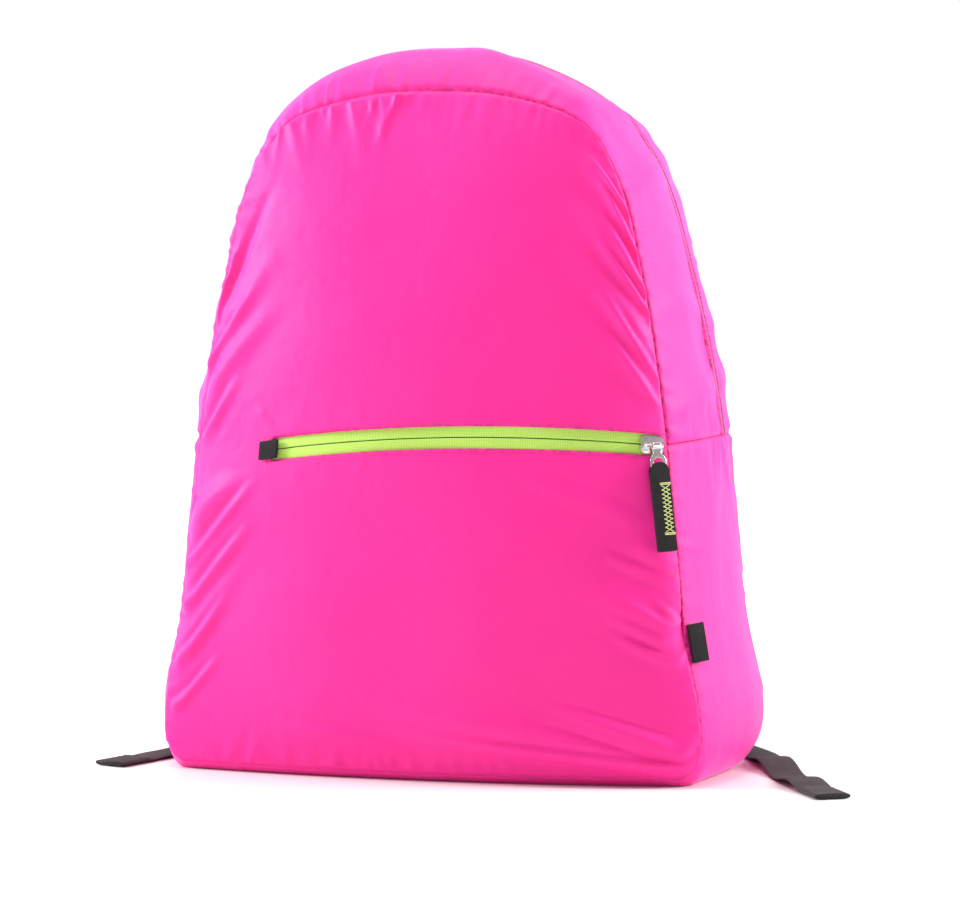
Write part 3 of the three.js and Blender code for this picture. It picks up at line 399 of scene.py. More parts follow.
# close webbing: ribs along its length, crossed by fine rows
def webbingFinish(name, color, light, ribs=0.0016, rows=0.0009):
    f = Finish(name)
    along, across, _ = f.axes(f.place(uv=True))
    rib = (across * (math.tau / ribs)).sine()
    row = (along * (math.tau / rows) + rib * 1.2).sine()
    height = rib * 0.55 + row * 0.45
    fuzz = f.noise(f.place(), 1300, 3, 0.65)
    dust = f.ramp(f.noise(f.place(), 60, 4), 0.45, 0.75)
    # painted light and shade: the raised threads in the lighter colour and the grooves in the darker one; the
    # dust patches are the webbing's own
    shade = f.blend(f.ramp(height + fuzz * 0.7, -0.3, 1.2), color, light)
    shade = f.blend(dust * 0.25, shade, tuple(min(1, c * 1.6) for c in light[:3]) + (1,))
    normal = f.bump(fuzz, 0.0002, 0.5, f.bump(height, 0.00018, 0.9))
    return f.finish(**{"Base Color": shade, "Roughness": 0.68 + 0.2 * fuzz, "Normal": normal,
                       "Specular IOR Level": 0.22, "Sheen Weight": 0.06, "Sheen Roughness": 0.45})


def nickelFinish(name):
    f = Finish(name)
    place = f.place()
    brushed = f.streaks(place, (200, 200, 2600), 3)
    spots = f.ramp(f.noise(place, 420, 3), 0.5, 0.72)
    shade = f.blend(spots * 0.35, (0.83, 0.8, 0.79, 1), (0.52, 0.48, 0.47, 1))
    normal = f.bump(f.noise(place, 300, 2), 0.00008, 0.6, f.bump(brushed, 0.00001, 0.5))
    roughness = 0.14 + 0.16 * brushed
    return f.finish(**{"Base Color": shade, "Metallic": 1.0, "Roughness": roughness, "Normal": normal})


def plasticFinish(name, color):
    f = Finish(name)
    place = f.place()
    grain = f.noise(place, 1500, 2)
    scuffs = f.ramp(f.streaks(place, (60, 500, 60), 4), 0.6, 0.8)
    shade = f.blend(scuffs * 0.3, color, (0.09, 0.09, 0.095, 1))
    normal = f.bump(grain, 0.00004, 0.6)
    return f.finish(**{"Base Color": shade, "Roughness": 0.42 + 0.18 * grain, "Normal": normal})


def threadFinish(name, color, deep):
    f = Finish(name)
    place = f.place()
    fibre = f.noise(place, 2600, 2)
    return f.finish(**{"Base Color": f.blend(fibre, deep, color), "Roughness": 0.5 + 0.25 * fibre,
                       "Normal": f.bump(fibre, 0.0001, 0.6), "Sheen Weight": 0.2})


# the dark seam pink is a painted shade for seams, slots and lips
looks = {
    "pink": (0.93, 0.018, 0.3, 1), "pinkDeep": (0.86, 0.01, 0.2, 1), "pinkSeamShade": (0.22, 0.003, 0.07, 1),
    "lime": (0.6, 0.88, 0.15, 1), "limeDeep": (0.4, 0.66, 0.08, 1),
    # the lighter black and grey are painted light on the webbings' raised threads
    "black": (0.006, 0.005, 0.006, 1), "blackLitRibs": (0.022, 0.018, 0.021, 1),
    "grey": (0.018, 0.016, 0.018, 1), "greyLitRibs": (0.055, 0.049, 0.053, 1),
}
finishes = {
    "nylon": nylonFinish("pink_nylon_cloth", looks["pink"], looks["pinkDeep"], looks["pinkSeamShade"]),
    # the main zip's tape and coil: darker than the cloth, partly the tape's own pink and partly painted shade
    # under the welts
    "pinkTape": tapeFinish("pink_zip_tape", (0.36, 0.01, 0.15, 1), (0.15, 0.004, 0.07, 1)),
    "limeTape": tapeFinish("lime_zip_tape", looks["lime"], looks["limeDeep"]),
    "blackWeb": webbingFinish("black_tab_webbing", looks["black"], looks["blackLitRibs"], 0.0012, 0.0007),
    "greyWeb": webbingFinish("grey_strap_webbing", looks["grey"], looks["greyLitRibs"]),
    "nickel": nickelFinish("bright_nickel"),
    "plastic": plasticFinish("black_moulded_plastic", (0.012, 0.012, 0.014, 1)),
    "pinkThread": threadFinish("pink_thread", (0.85, 0.03, 0.36, 1), (0.45, 0.01, 0.17, 1)),
    "limeThread": threadFinish("pale_lime_thread", (0.82, 0.88, 0.36, 1), (0.6, 0.66, 0.2, 1)),
    "darkThread": threadFinish("dark_thread", (0.06, 0.05, 0.06, 1), (0.02, 0.016, 0.02, 1)),
}
print("finishes made")


def meshObject(name, points, faces, finish, uv=None, crease=None, soft=True):
    mesh = bpy.data.meshes.new(name)
    corners = faces if isinstance(faces, list) else faces.tolist()
    mesh.from_pydata((np.asarray(points) * 0.001).tolist(), [], corners)
    if uv is not None:
        layer = mesh.uv_layers.new(name="weave")
        loops = np.empty(len(mesh.loops), np.int32)
        mesh.loops.foreach_get("vertex_index", loops)
        layer.data.foreach_set("uv", (np.asarray(uv)[loops] * 0.001).astype(np.float32).ravel())
    # a point attribute of painted shade, by which the nylon darkens towards its seam colour
    if crease is not None:
        shade = mesh.attributes.new("crease", "FLOAT", "POINT")
        shade.data.foreach_set("value", np.asarray(crease, np.float32).ravel())
    if soft:
        mesh.shade_smooth()
    made = bpy.data.objects.new(name, mesh)
    bpy.context.scene.collection.objects.link(made)
    mesh.materials.append(finish)
    return made


# the evaluated object as a plain mesh with no modifiers left
def settle(made):
    bpy.context.view_layer.update()
    graph = bpy.context.evaluated_depsgraph_get()
    mesh = bpy.data.meshes.new_from_object(made.evaluated_get(graph), depsgraph=graph)
    fresh = bpy.data.objects.new(made.name, mesh)
    old, plainName = made.data, made.name
    bpy.data.objects.remove(made)
    if isinstance(old, bpy.types.Mesh):
        bpy.data.meshes.remove(old)
    bpy.context.scene.collection.objects.link(fresh)
    fresh.name = plainName
    return fresh


def solidify(made, wall, offset=-1):
    wallMaker = made.modifiers.new("wall", "SOLIDIFY")
    wallMaker.thickness, wallMaker.offset, wallMaker.use_even_offset = wall * 0.001, offset, False
    return settle(made)


# a cloth surface from a grid of points, its open cells left out
def clothPiece(name, grid, uv, crease, finish, wall=0.7, hole=None, flip=False):
    nu, nv = grid.shape[:2]
    index = np.arange(nu * nv).reshape(nu, nv)
    quads = np.stack([index[:-1, :-1], index[1:, :-1], index[1:, 1:], index[:-1, 1:]], axis=-1)
    if flip:
        quads = quads[..., ::-1]
    keep = np.ones(quads.shape[:2], bool) if hole is None else ~hole
    made = meshObject(name, grid.reshape(-1, 3), quads[keep], finish, uv.reshape(-1, 2), crease.ravel())
    cleaner = bmesh.new()
    cleaner.from_mesh(made.data)
    loose = [v for v in cleaner.verts if not v.link_faces]
    bmesh.ops.delete(cleaner, geom=loose, context="VERTS")
    cleaner.to_mesh(made.data)
    cleaner.free()
    return solidify(made, wall)


def dress(made, slot, *replaced, body="pack"):
    if replaced:
        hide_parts(*replaced)
    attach(made, body)
    return made


def mitre(s, towards):
    nx, nz = outlineNormal(s)
    return np.stack([-nx, np.full_like(nx, towards), -nz], axis=-1)


# the front panel: folds as (across, up, toAcross, toUp, half width in mm, rise in mm)
# in the first 22 fine folds a separate script worked the four places out, from ends picked by eye, and
# another one rounded all rows
frontPanel = {
    "columns": 232, "lowerRows": 98, "upperRows": 102, "wall": 0.7, "seamRound": 1.5,
    "folds": [
        (0.8, 0.93, 1, 0.83, 9, 3),
        (0.74, 0.84, 1, 0.73, 9, 3.4),
        (0.7, 0.75, 1, 0.64, 9, 3.2),
        (0.72, 0.66, 1, 0.56, 8, 2.4),
        (-0.72, 0.76, -1, 0.6, 8, 3),
        (-0.8, 0.86, -0.99, 0.68, 5, -2.8),
        (-0.68, 0.68, -1, 0.55, 8, 3.6),
        (-0.84, 0.7, -1, 0.56, 4.5, -2.4),
        (-0.72, 0.46, -1, 0.34, 9, 3.8),
        (-0.72, 0.37, -1, 0.24, 9, 3.2),
        (-0.7, 0.3, -0.97, 0.16, 7, 2.2),
        (0.78, 0.37, 1, 0.3, 9, 2.8),
        (0.66, 0.28, 1, 0.19, 10, 3.2),
        (-0.05, 0.09, 0.86, 0.03, 10, 5),
        (0.42, 0.08, 0.84, 0.03, 2.4, -2.6),
    ],
    "fineFolds": [
        (0.85, 0.92, 1, 0.85, 2.8, 1.9),
        (0.86, 0.88, 1, 0.78, 3, 2.1),
        (0.84, 0.83, 1, 0.72, 3.4, 2.3),
        (0.8, 0.79, 1, 0.69, 3, 2.2),
        (0.78, 0.71, 0.97, 0.6, 3.6, 2.3),
        (0.79, 0.65, 0.95, 0.56, 3, 1.5),
        (-0.79, 0.71, -1, 0.6, 3.8, 2.2),
        (-0.93, 0.8, -1, 0.67, 3, 1.6),
        (-0.8, 0.58, -1, 0.46, 4.2, 2.5),
        (-0.83, 0.5, -0.99, 0.43, 3, 1.8),
        (-0.68, 0.42, -0.94, 0.3, 3.8, 2.4),
        (-0.69, 0.35, -0.92, 0.24, 4, 2.3),
        (-0.93, 0.43, -0.98, 0.38, 2.4, 1.3),
        (-0.75, 0.25, -0.93, 0.15, 3.8, 1.9),
        (-0.77, 0.16, -0.91, 0.08, 3.4, 1.5),
        (0.78, 0.26, 0.95, 0.22, 3, 1.8),
        (0.73, 0.21, 0.93, 0.17, 3.4, 1.9),
        (0.71, 0.33, 0.95, 0.29, 3.2, 1.5),
        (0.86, 0.27, 0.97, 0.22, 2.2, 1.2),
        (0.7, 0.24, 0.87, 0.21, 2.6, 1.1),
        (0.5, 0.1, 0.8, 0.06, 4, 2),
        (-0.04, 0.06, 0.78, 0.02, 4.5, 2.6),
        (-0.5, 0.07, -0.1, 0.04, 4, 1.2),
        (-0.68, 0.54, -0.6, 0.51, 2.2, 1),
        (-0.62, 0.47, -0.69, 0.45, 2.4, 1),
        (0.4, 0.44, 0.78, 0.39, 6, 1.1),
    ],
    "pulledIn": [(0.985, 0.205, 11, 2.6), (0.95, 0.405, 9, 1.2), (-0.63, 0.5, 7, 0.9)],
}
halfWidthTable = np.linspace(bag["seamLift"] + 8, bag["archHeight"] - 1, 300)
halfWidthAt = np.array([outline(outlineAtHeight(z))[0] for z in halfWidthTable])


def frontBase(u, v):
    x, z = patch(panelEdge, u, v)
    dome = bag["domeDepth"] * (1 - np.abs(u) ** 2.4) * profile(domeUp, v)
    return np.stack([x, seamY(x, z) - dome, z], axis=-1)


def windowHalfAt(u):
    inner = bag["zipRightEnd"] - 0.035
    closing = np.sqrt(np.clip(1 - ((u - inner) / 0.035) ** 2, 0, 1))
    return bag["zipWindow"] / 2 * np.where(u > inner, closing, 1.0)


def frontV(u, half, share):
    half = np.asarray(half)
    edge = windowHalfAt(u) / bag["archHeight"]
    return np.where(half < 0, share * (zipLine(u) - edge), lerp(zipLine(u) + edge, 1, share))


# the distance in mm from each of a panel's four seams
def fromSeams(u, v, width):
    return {
        "right": (1 - u) * width, "left": (1 + u) * width,
        "top": (1 - v) * panelRise, "base": v * panelRise,
    }


def nearestSeam(away):
    return np.minimum(np.minimum(away["right"], away["left"]), np.minimum(away["top"], away["base"]))


def frontRelief(u, v, points):
    width = np.interp(points[..., 2], halfWidthTable, halfWidthAt)
    inside = smooth(0, 0.12, 1 - np.abs(u)) * smooth(0, 0.05, v) * smooth(0, 0.05, 1 - v)
    nearZip = smooth(0.02, 0.06, np.abs(v - zipLine(u)))
    folds = ridges(u, v, frontPanel["folds"], width, bag["archHeight"]) * inside
    fine = 1.25 * ridges(u, v, frontPanel["fineFolds"], width, bag["archHeight"], 0.55)
    fine = fine * smooth(0, 0.03, 1 - np.abs(u))
    for across, up, reach, depth in frontPanel["pulledIn"]:
        away2 = ((u - across) * width) ** 2 + ((v - up) * bag["archHeight"]) ** 2
        fine = fine - depth * np.exp(-away2 / reach**2)
    away = fromSeams(u, v, width)
    x, z = points[..., 0], points[..., 2]
    gathered = lambda place: 1.0 if place < -12 else 0.35
    total = folds + fine
    total = total + puckers(x, away["top"], 3, 5, 34, 2.2, (1.5, 3), where=gathered)
    total = total + puckers(z, away["right"], 5, 8, 17, 1.5, (1.6, 3.4)) * smooth(-0.5, 0.1, u)
    total = total + puckers(z, away["left"], 8, 9, 22, 1.25, (1.8, 4)) * smooth(-0.5, 0.1, -u)
    total = total + puckers(x, away["base"], 13, 10, 20, 1.2, (1.8, 4))
    total = total * nearZip
    fromZip = np.abs(v - zipLine(u)) * bag["archHeight"] - bag["zipWindow"] / 2
    total = total + puckers(x, np.maximum(fromZip, 0), 21, 16, 22, 0.55) * smooth(2, 7, fromZip)
    total = total + 0.8 * drift(x, z, 4, 95) * inside
    seam = nearestSeam(away)
    shade = seamShade(x, z)
    total = total - frontPanel["seamRound"] * (0.2 + 0.8 * shade) * np.exp(-seam / 1.6)
    besideWindow = (u > bag["zipLeftEnd"] - 0.02) & (u < bag["zipRightEnd"] + 0.01)
    lip = np.where(besideWindow, np.exp(-np.maximum(fromZip, 0) / 1.2), 0)
    # the second value is painted shade: along the seams, as much as seamShade gives, and along the pocket
    # window's lip
    return total - 0.35 * lip, shade * np.exp(-((seam / 1.5) ** 2)) + 0.5 * lip


# how much of the seam shows, in how deep it sinks and in its painted shade: little in the gathers at the
# arch's left half, and least along the base
def seamShade(x, z):
    return 1 - (0.4 + 0.4 * smooth(20, -40, x)) * smooth(330, 380, z) - 0.95 * smooth(40, 12, z)


def frontPoints(u, v):
    base = frontBase(u, v)
    step = 2e-3
    du = frontBase(np.clip(u + step, -1, 1), v) - frontBase(np.clip(u - step, -1, 1), v)
    dv = frontBase(u, np.clip(v + step, 0, 1)) - frontBase(u, np.clip(v - step, 0, 1))
    normal = np.cross(du, dv)
    normal /= np.linalg.norm(normal, axis=-1, keepdims=True)
    relief, crease = frontRelief(u, v, base)
    return base + normal * relief[..., None], normal, crease


# rows past a rim turn into the bag, so that a seam shows no edge
def withHems(grid, sides, depths=(0.9, 2.4)):
    for axis, end, inward in sides:
        rim = np.take(grid, end, axis=axis)
        extra = [rim + inward * depth for depth in (depths if end == -1 else depths[::-1])]
        extra = np.stack(extra, axis=axis)
        grid = np.concatenate([grid, extra] if end == -1 else [extra, grid], axis=axis)
    return grid


def repeatRims(values, sides, count=2):
    for axis, end, _ in sides:
        rim = np.take(values, [end], axis=axis)
        extra = np.repeat(rim, count, axis=axis)
        values = np.concatenate([values, extra] if end == -1 else [extra, values], axis=axis)
    return values


# places from -1 to 1 that lie closer together towards both ends
def closerAtEnds(even, pull=0.5):
    return even * (1 - pull) + pull * np.sin(even * math.pi / 2)


def rimPlace(u, v):
    beside = np.sign(u) * lerp(bag["cornerAt"], shoulderAt, v)
    return np.where(v < 0.01, bag["cornerAt"] * u, np.where(v > 0.99, 0.5 - (0.5 - shoulderAt) * u, beside))


# a panel's four rims, each with the way its hem turns
def panelRims(us, vs, towards):
    left, right = (mitre(rimPlace(np.full_like(vs, end), vs), towards) for end in (-1.0, 1.0))
    withHemColumns = np.concatenate([us[:1], us[:1], us, us[-1:], us[-1:]])
    base = mitre(bag["cornerAt"] * withHemColumns, towards)
    top = mitre(0.5 - (0.5 - shoulderAt) * withHemColumns, towards)
    return [(0, 0, left), (0, -1, right), (1, 0, base), (1, -1, top)]


def makeFrontPanel():
    p = frontPanel
    us = closerAtEnds(np.linspace(-1, 1, p["columns"]))
    for edge in ("zipLeftEnd", "zipRightEnd"):
        us[np.abs(us - bag[edge]).argmin()] = bag[edge]
    halves = np.concatenate([-np.ones(p["lowerRows"]), np.ones(p["upperRows"])])
    towardsSeam = lambda count: 1 - np.abs(closerAtEnds(np.linspace(0, 1, count)))
    lower, upper = towardsSeam(p["lowerRows"])[::-1], 1 - towardsSeam(p["upperRows"])
    shares = np.concatenate([lower, upper])
    u, half = np.meshgrid(us, halves, indexing="ij")
    share = np.broadcast_to(shares, u.shape)
    v = frontV(u, half, share)
    grid, _, crease = frontPoints(u, v)
    uv = np.stack([u * bag["baseHalfWidth"], v * bag["archHeight"]], axis=-1)
    sides = panelRims(us, v[0], 1)
    full = withHems(grid, sides)
    fullPaintedShade, fullUv = repeatRims(crease, sides), repeatRims(uv, sides)
    cut = np.zeros((full.shape[0] - 1, full.shape[1] - 1), bool)
    window = (us[:-1] >= bag["zipLeftEnd"] - 1e-6) & (us[:-1] < bag["zipRightEnd"] - 1e-6)
    cut[2:2 + len(window), 2 + p["lowerRows"] - 1] = window
    return clothPiece("front_panel_cloth", full, fullUv, fullPaintedShade, finishes["nylon"], p["wall"], hole=cut)


dress(makeFrontPanel(), "pink_nylon", "front_panel")
print("front panel made")

# the gusset: s runs along the seam, t from the front seam to the back seam
gusset = {
    "wall": 0.7, "seamRound": 1.5, "archColumns": 620, "baseColumns": 400, "welt": 1.0, "endGap": 0.15,
    "otherEnd": 400,
}


def swell(s, t):
    x, z = outline(s)
    nx, nz = outlineNormal(s)
    fromCrown = np.minimum(1, ((x + bag["crownShift"]) / bag["crownHalf"]) ** 2)
    crown = lerp(bag["topSwell"], bag["shoulderSwell"], fromCrown)
    vertical = np.where(nz > 0, crown * profile(swellTop, t), bag["baseDrop"] * profile(swellBase, t))
    higher = smooth(bag["sideSeamHeight"], bag["archHeight"] * 0.9, z)
    beside = lerp(bag["sideSwell"], bag["upperSwell"], higher)
    return nx * nx * beside * profile(swellSide, t) + nz * nz * vertical


def gussetPoint(s, t, rise=0.0):
    x, z = outline(s)
    nx, nz = outlineNormal(s)
    out = swell(s, t) + rise
    return np.stack([x + nx * out, lerp(seamY(x, z), backY(z), t), np.maximum(0.0, z + nz * out)], axis=-1)


def depthAt(s):
    x, z = outline(s)
    return backY(z) - seamY(x, z)


# ripples across the arch as (place along it, slant, half width in mm, rise in mm)
archRipples = [
    (0.05, 0.03, 9, 2.2), (0.13, -0.03, 10, 1.8), (0.27, 0.05, 11, 2.4), (0.34, -0.04, 10, 2.6),
    (0.47, 0.03, 12, 1.6), (0.66, -0.05, 11, 2.6), (0.73, 0.04, 10, 2.0), (0.88, 0.03, 10, 1.8),
    (0.95, -0.03, 9, 2.2),
]


def archRelief(s, t):
    share = (s - sideSeamAt) / (1 - 2 * sideSeamAt)
    length = (1 - 2 * sideSeamAt) * outlineLength
    inside = smooth(0, 0.16, t) * smooth(0, 0.16, 1 - t)
    total = np.zeros_like(share)
    for along, slant, halfWidth, rise in archRipples:
        off = (share - along - slant * (t - 0.5)) * length
        total += rise * inside * np.exp(-((off / halfWidth) ** 2))
    return total


def gussetRelief(s, t, arch):
    depth = depthAt(s)
    along = s * outlineLength
    front, back = t * depth, (1 - t) * depth
    gathered = lambda place: 1.0 if 0.5 < place / outlineLength < 0.64 else 0.0
    total = puckers(along, front, 33, 5.5, 17, 1.7, (1.5, 2.8), where=gathered)
    atFront = puckers(along, front, 31, 8, 20, 1.5, (1.7, 3.8))
    total += atFront + puckers(along, back, 37, 10, 30, 1.2, (2, 4.6))
    leftEnd = 1 - sideSeamAt - (0 if arch else 1)
    ends = np.minimum(np.abs(s - sideSeamAt), np.abs(s - leftEnd)) * outlineLength
    acrossEnd = t * gussetDepth + np.where(s % 1 > 0.5, gusset["otherEnd"], 0)
    atEnds = puckers(acrossEnd, ends, 41, 9, 42, 1.9, (2.4, 5))
    total = total + atEnds * smooth(0, 0.05, t) * smooth(0, 0.05, 1 - t)
    if arch:
        total = total + archRelief(s, t)
    total = total + 0.7 * drift(along, t * gussetDepth, 9, 80) * smooth(0, 0.2, t) * smooth(0, 0.2, 1 - t)
    seam = np.minimum(front, back)
    shade = seamShade(*outline(s))
    total = total - gusset["seamRound"] * (0.2 + 0.8 * shade) * np.exp(-seam / 1.6)
    total = total - 0.6 * np.exp(-ends / 1.3)
    # the second value is painted shade along the front and back seams and across the side seams
    return total, np.maximum(shade * np.exp(-((seam / 1.5) ** 2)), 0.5 * np.exp(-((ends / 1.1) ** 2)))


# places along the seam that stop short of the side seams
def seamPlaces(low, high, count):
    s = np.linspace(low, high, count)
    s[0] += gusset["endGap"] / outlineLength
    s[-1] -= gusset["endGap"] / outlineLength
    return s


def inwardAt(s):
    nx, nz = outlineNormal(s)
    return np.stack([-nx, np.zeros_like(nx), -nz], axis=-1)


# a strip's cloth, hemmed along its long sides and then at its two ends
def stripCloth(name, s, grid, t, crease, sides):
    uv = np.stack([np.repeat(s[:, None], t.shape[1], axis=1) * outlineLength, t * gussetDepth], axis=-1)
    full = withHems(grid, sides)
    rim = inwardAt(s)
    ends = [(0, 0, np.repeat(rim[:1], full.shape[1], 0)), (0, -1, np.repeat(rim[-1:], full.shape[1], 0))]
    full = withHems(full, ends)
    crease, uv = repeatRims(crease, sides + ends), repeatRims(uv, sides + ends)
    return clothPiece(name, full, uv, crease, finishes["nylon"], gusset["wall"], flip=True)


def makeStrip(name, rows, front):
    s = seamPlaces(sideSeamAt, 1 - sideSeamAt, gusset["archColumns"])
    offsets = np.array([o for o, _ in rows])
    rises = np.array([r for _, r in rows])
    sGrid = np.repeat(s[:, None], len(rows), axis=1)
    depth = depthAt(sGrid)
    zipT = bag["mainZipDepth"]
    if front:
        t = np.where(offsets >= 0, zipT * offsets, zipT + offsets / depth)
    else:
        t = np.where(offsets > 1, 1 - (offsets - 2) * (1 - zipT), zipT - offsets / depth)
    atZip = np.abs(t - zipT) * depth
    relief, crease = gussetRelief(sGrid, t, True)
    relief = relief * smooth(3, 10, atZip) + rises
    grid = gussetPoint(sGrid, t, relief)
    # painted shade along the edge of the zip slot and along the welt's edge 6.3 mm from the zip
    slotShade = 3 * np.exp(-((atZip - 0.6) / (0.8 if front else 2.4)) ** 2)
    crease = np.maximum(np.maximum(crease, slotShade), np.exp(-((atZip - 6.3) / 0.8) ** 2))
    seamSide = (1, 0, mitre(s, 1)) if front else (1, -1, mitre(s, -1))
    zipSide = (1, -1 if front else 0, inwardAt(s) * 0.4)
    return stripCloth(name, s, grid, t, crease, [seamSide, zipSide])


# rows beside the zip as (minus the distance from it, rise), in mm; the others as (share of the way from the
# seam to the zip, 0), with 2 added on the rear strip
welt = gusset["welt"]
weltRows = [
    (-8.6, 0), (-7.4, 0), (-6.6, 0.05), (-6.1, 0.5), (-5.4, 0.95), (-4.4, welt), (-2.6, welt * 1.1),
    (-1.5, welt * 1.05), (-0.9, welt * 0.7), (-0.8, 0.2),
]
frontRows = [(share, 0) for share in np.linspace(0, 0.86, 24)] + weltRows
rearRows = weltRows[::-1] + [(share, 0) for share in np.linspace(2.78, 2.0, 16)]
dress(makeStrip("gusset_front_cloth", frontRows, True), "pink_nylon", "gusset_front_strip")
dress(makeStrip("gusset_rear_cloth", rearRows, False), "pink_nylon", "gusset_rear_strip")


def makeLowerGusset():
    s = seamPlaces(-sideSeamAt, sideSeamAt, gusset["baseColumns"])
    nearSeams = [0, 0.008, 0.018, 0.03, 0.045], [0.955, 0.97, 0.982, 0.992, 1]
    ts = np.concatenate([nearSeams[0], np.linspace(0.065, 0.935, 56), nearSeams[1]])
    sGrid, t = np.meshgrid(s, ts, indexing="ij")
    relief, crease = gussetRelief(sGrid, t, False)
    _, nz = outlineNormal(sGrid)
    relief = relief * (1 - smooth(0.5, 0.9, -nz))
    grid = gussetPoint(sGrid, t, relief)
    return stripCloth("lower_gusset_cloth", s, grid, t, crease, [(1, 0, mitre(s, 1)), (1, -1, mitre(s, -1))])


dress(makeLowerGusset(), "pink_nylon", "lower_gusset")
print("gusset made")


def backEdge(s):
    s = np.asarray(s, float)
    p = gussetPoint(s, np.ones_like(s))
    nx, nz = outlineNormal(s)
    return p[..., 0] - nx * bag["backInset"], p[..., 2] - nz * bag["backInset"]


def backBase(u, v):
    x, z = patch(backEdge, u, v)
    dome = bag["backDome"] * (1 - np.abs(u) ** 2.4) * np.sin(np.pi * np.clip(v, 0, 1)) ** 0.7
    return np.stack([x, backY(z) + dome, z], axis=-1)


backPanel = {"columns": 170, "rows": 190, "wall": 0.7, "weaveHalfWidth": 170}


def makeBackPanel():
    p = backPanel
    u, v = np.meshgrid(np.linspace(-1, 1, p["columns"]), np.linspace(0, 1, p["rows"]), indexing="ij")
    base = backBase(u, v)
    x, z = base[..., 0], base[..., 2]
    width = np.interp(z, halfWidthTable, halfWidthAt) * 1.04
    away = fromSeams(u, v, width)
    relief = puckers(x, away["top"], 51, 10, 28, 1.2)
    relief = relief + puckers(z, away["right"], 53, 10, 30, 1.2) * smooth(-0.5, 0.1, u)
    left = puckers(z, away["left"], 57, 10, 30, 1.2) * smooth(-0.5, 0.1, -u)
    relief += left + puckers(x, away["base"], 59, 12, 24, 1.0)
    inside = smooth(0, 0.15, 1 - np.abs(u)) * smooth(0, 0.1, v) * smooth(0, 0.1, 1 - v)
    relief += 0.9 * drift(x, z, 14, 110) * inside
    seam = nearestSeam(away)
    relief -= 0.9 * np.exp(-seam / 1.8)
    base[..., 1] += relief
    sides = panelRims(u[:, 0], v[0], -1)
    full = withHems(base, sides)
    uv = repeatRims(np.stack([u * p["weaveHalfWidth"], v * bag["archHeight"]], axis=-1), sides)
    # painted shade along the back panel's seams
    crease = repeatRims(np.exp(-seam / 1.6) * 0.55, sides)
    return clothPiece("back_panel_cloth", full, uv, crease, finishes["nylon"], p["wall"], flip=True)


dress(makeBackPanel(), "pink_nylon", "back_panel")
print("back panel made")

# both zips: tapes behind their windows, and the main zip's closed coil
zips = {
    "tapeBehind": 1.6, "tapeWall": 0.55, "pocketTape": 8.5, "pocketSplit": 0.22,
    "mainTape": 7.0, "mainSplit": 0.3, "mainTapeBehind": 1.75, "toothEvery": 1.35,
}


def tapePiece(name, grid, uv, finish, flip=False):
    return clothPiece(name, grid, uv, np.zeros(grid.shape[:2]), finish, zips["tapeWall"], flip=flip)


def makePocketTape(name, sign):
    atTeeth = zips["pocketSplit"] + np.array([0, 0.08, 0.2, 0.4, 0.7])
    offsets = np.concatenate([atTeeth, np.linspace(1.3, zips["pocketTape"], 10)])
    us = np.linspace(bag["zipLeftEnd"] - 0.03, bag["zipRightEnd"] + 0.006, 320)
    u, d = np.meshgrid(us, offsets, indexing="ij")
    v = zipLine(u) + sign * d / bag["archHeight"]
    base = frontBase(u, v)
    _, normal, _ = frontPoints(u, v)
    sink = zips["tapeBehind"] + 0.75 * np.exp(-(d - zips["pocketSplit"]) / 0.28)
    sink = sink - 0.25 * np.exp(-((d - 0.9) / 0.6) ** 2)
    uv = np.stack([u * bag["baseHalfWidth"], sign * d], axis=-1)
    return tapePiece(name, base - normal * sink[..., None], uv, finishes["limeTape"], flip=sign < 0)


dress(makePocketTape("pocket_zip_upper", 1), "lime_tape", "pocket_zip_tape_upper")
dress(makePocketTape("pocket_zip_lower", -1), "lime_tape", "pocket_zip_tape_lower")


def makeMainTape(name, sign):
    atTeeth = zips["mainSplit"] + np.array([0, 0.15, 0.4])
    offsets = np.concatenate([atTeeth, np.linspace(1.0, zips["mainTape"], 7)])
    sRow = np.linspace(sideSeamAt, 1 - sideSeamAt, 420)
    s, d = np.meshgrid(sRow, offsets, indexing="ij")
    t = bag["mainZipDepth"] + sign * d / depthAt(s)
    grid = gussetPoint(s, t, -zips["mainTapeBehind"])
    uv = np.stack([s * outlineLength, sign * d], axis=-1)
    return tapePiece(name, grid, uv, finishes["pinkTape"], flip=sign > 0)


dress(makeMainTape("main_zip_front_tape", -1), "pink_tape", "main_zip_tape")
dress(makeMainTape("main_zip_rear_tape", 1), "pink_tape")


def addSocket(tree, name, kind, value=None):
    socket = tree.interface.new_socket(name=name, in_out="INPUT", socket_type=kind)
    if value is not None:
        socket.default_value = value
    return socket


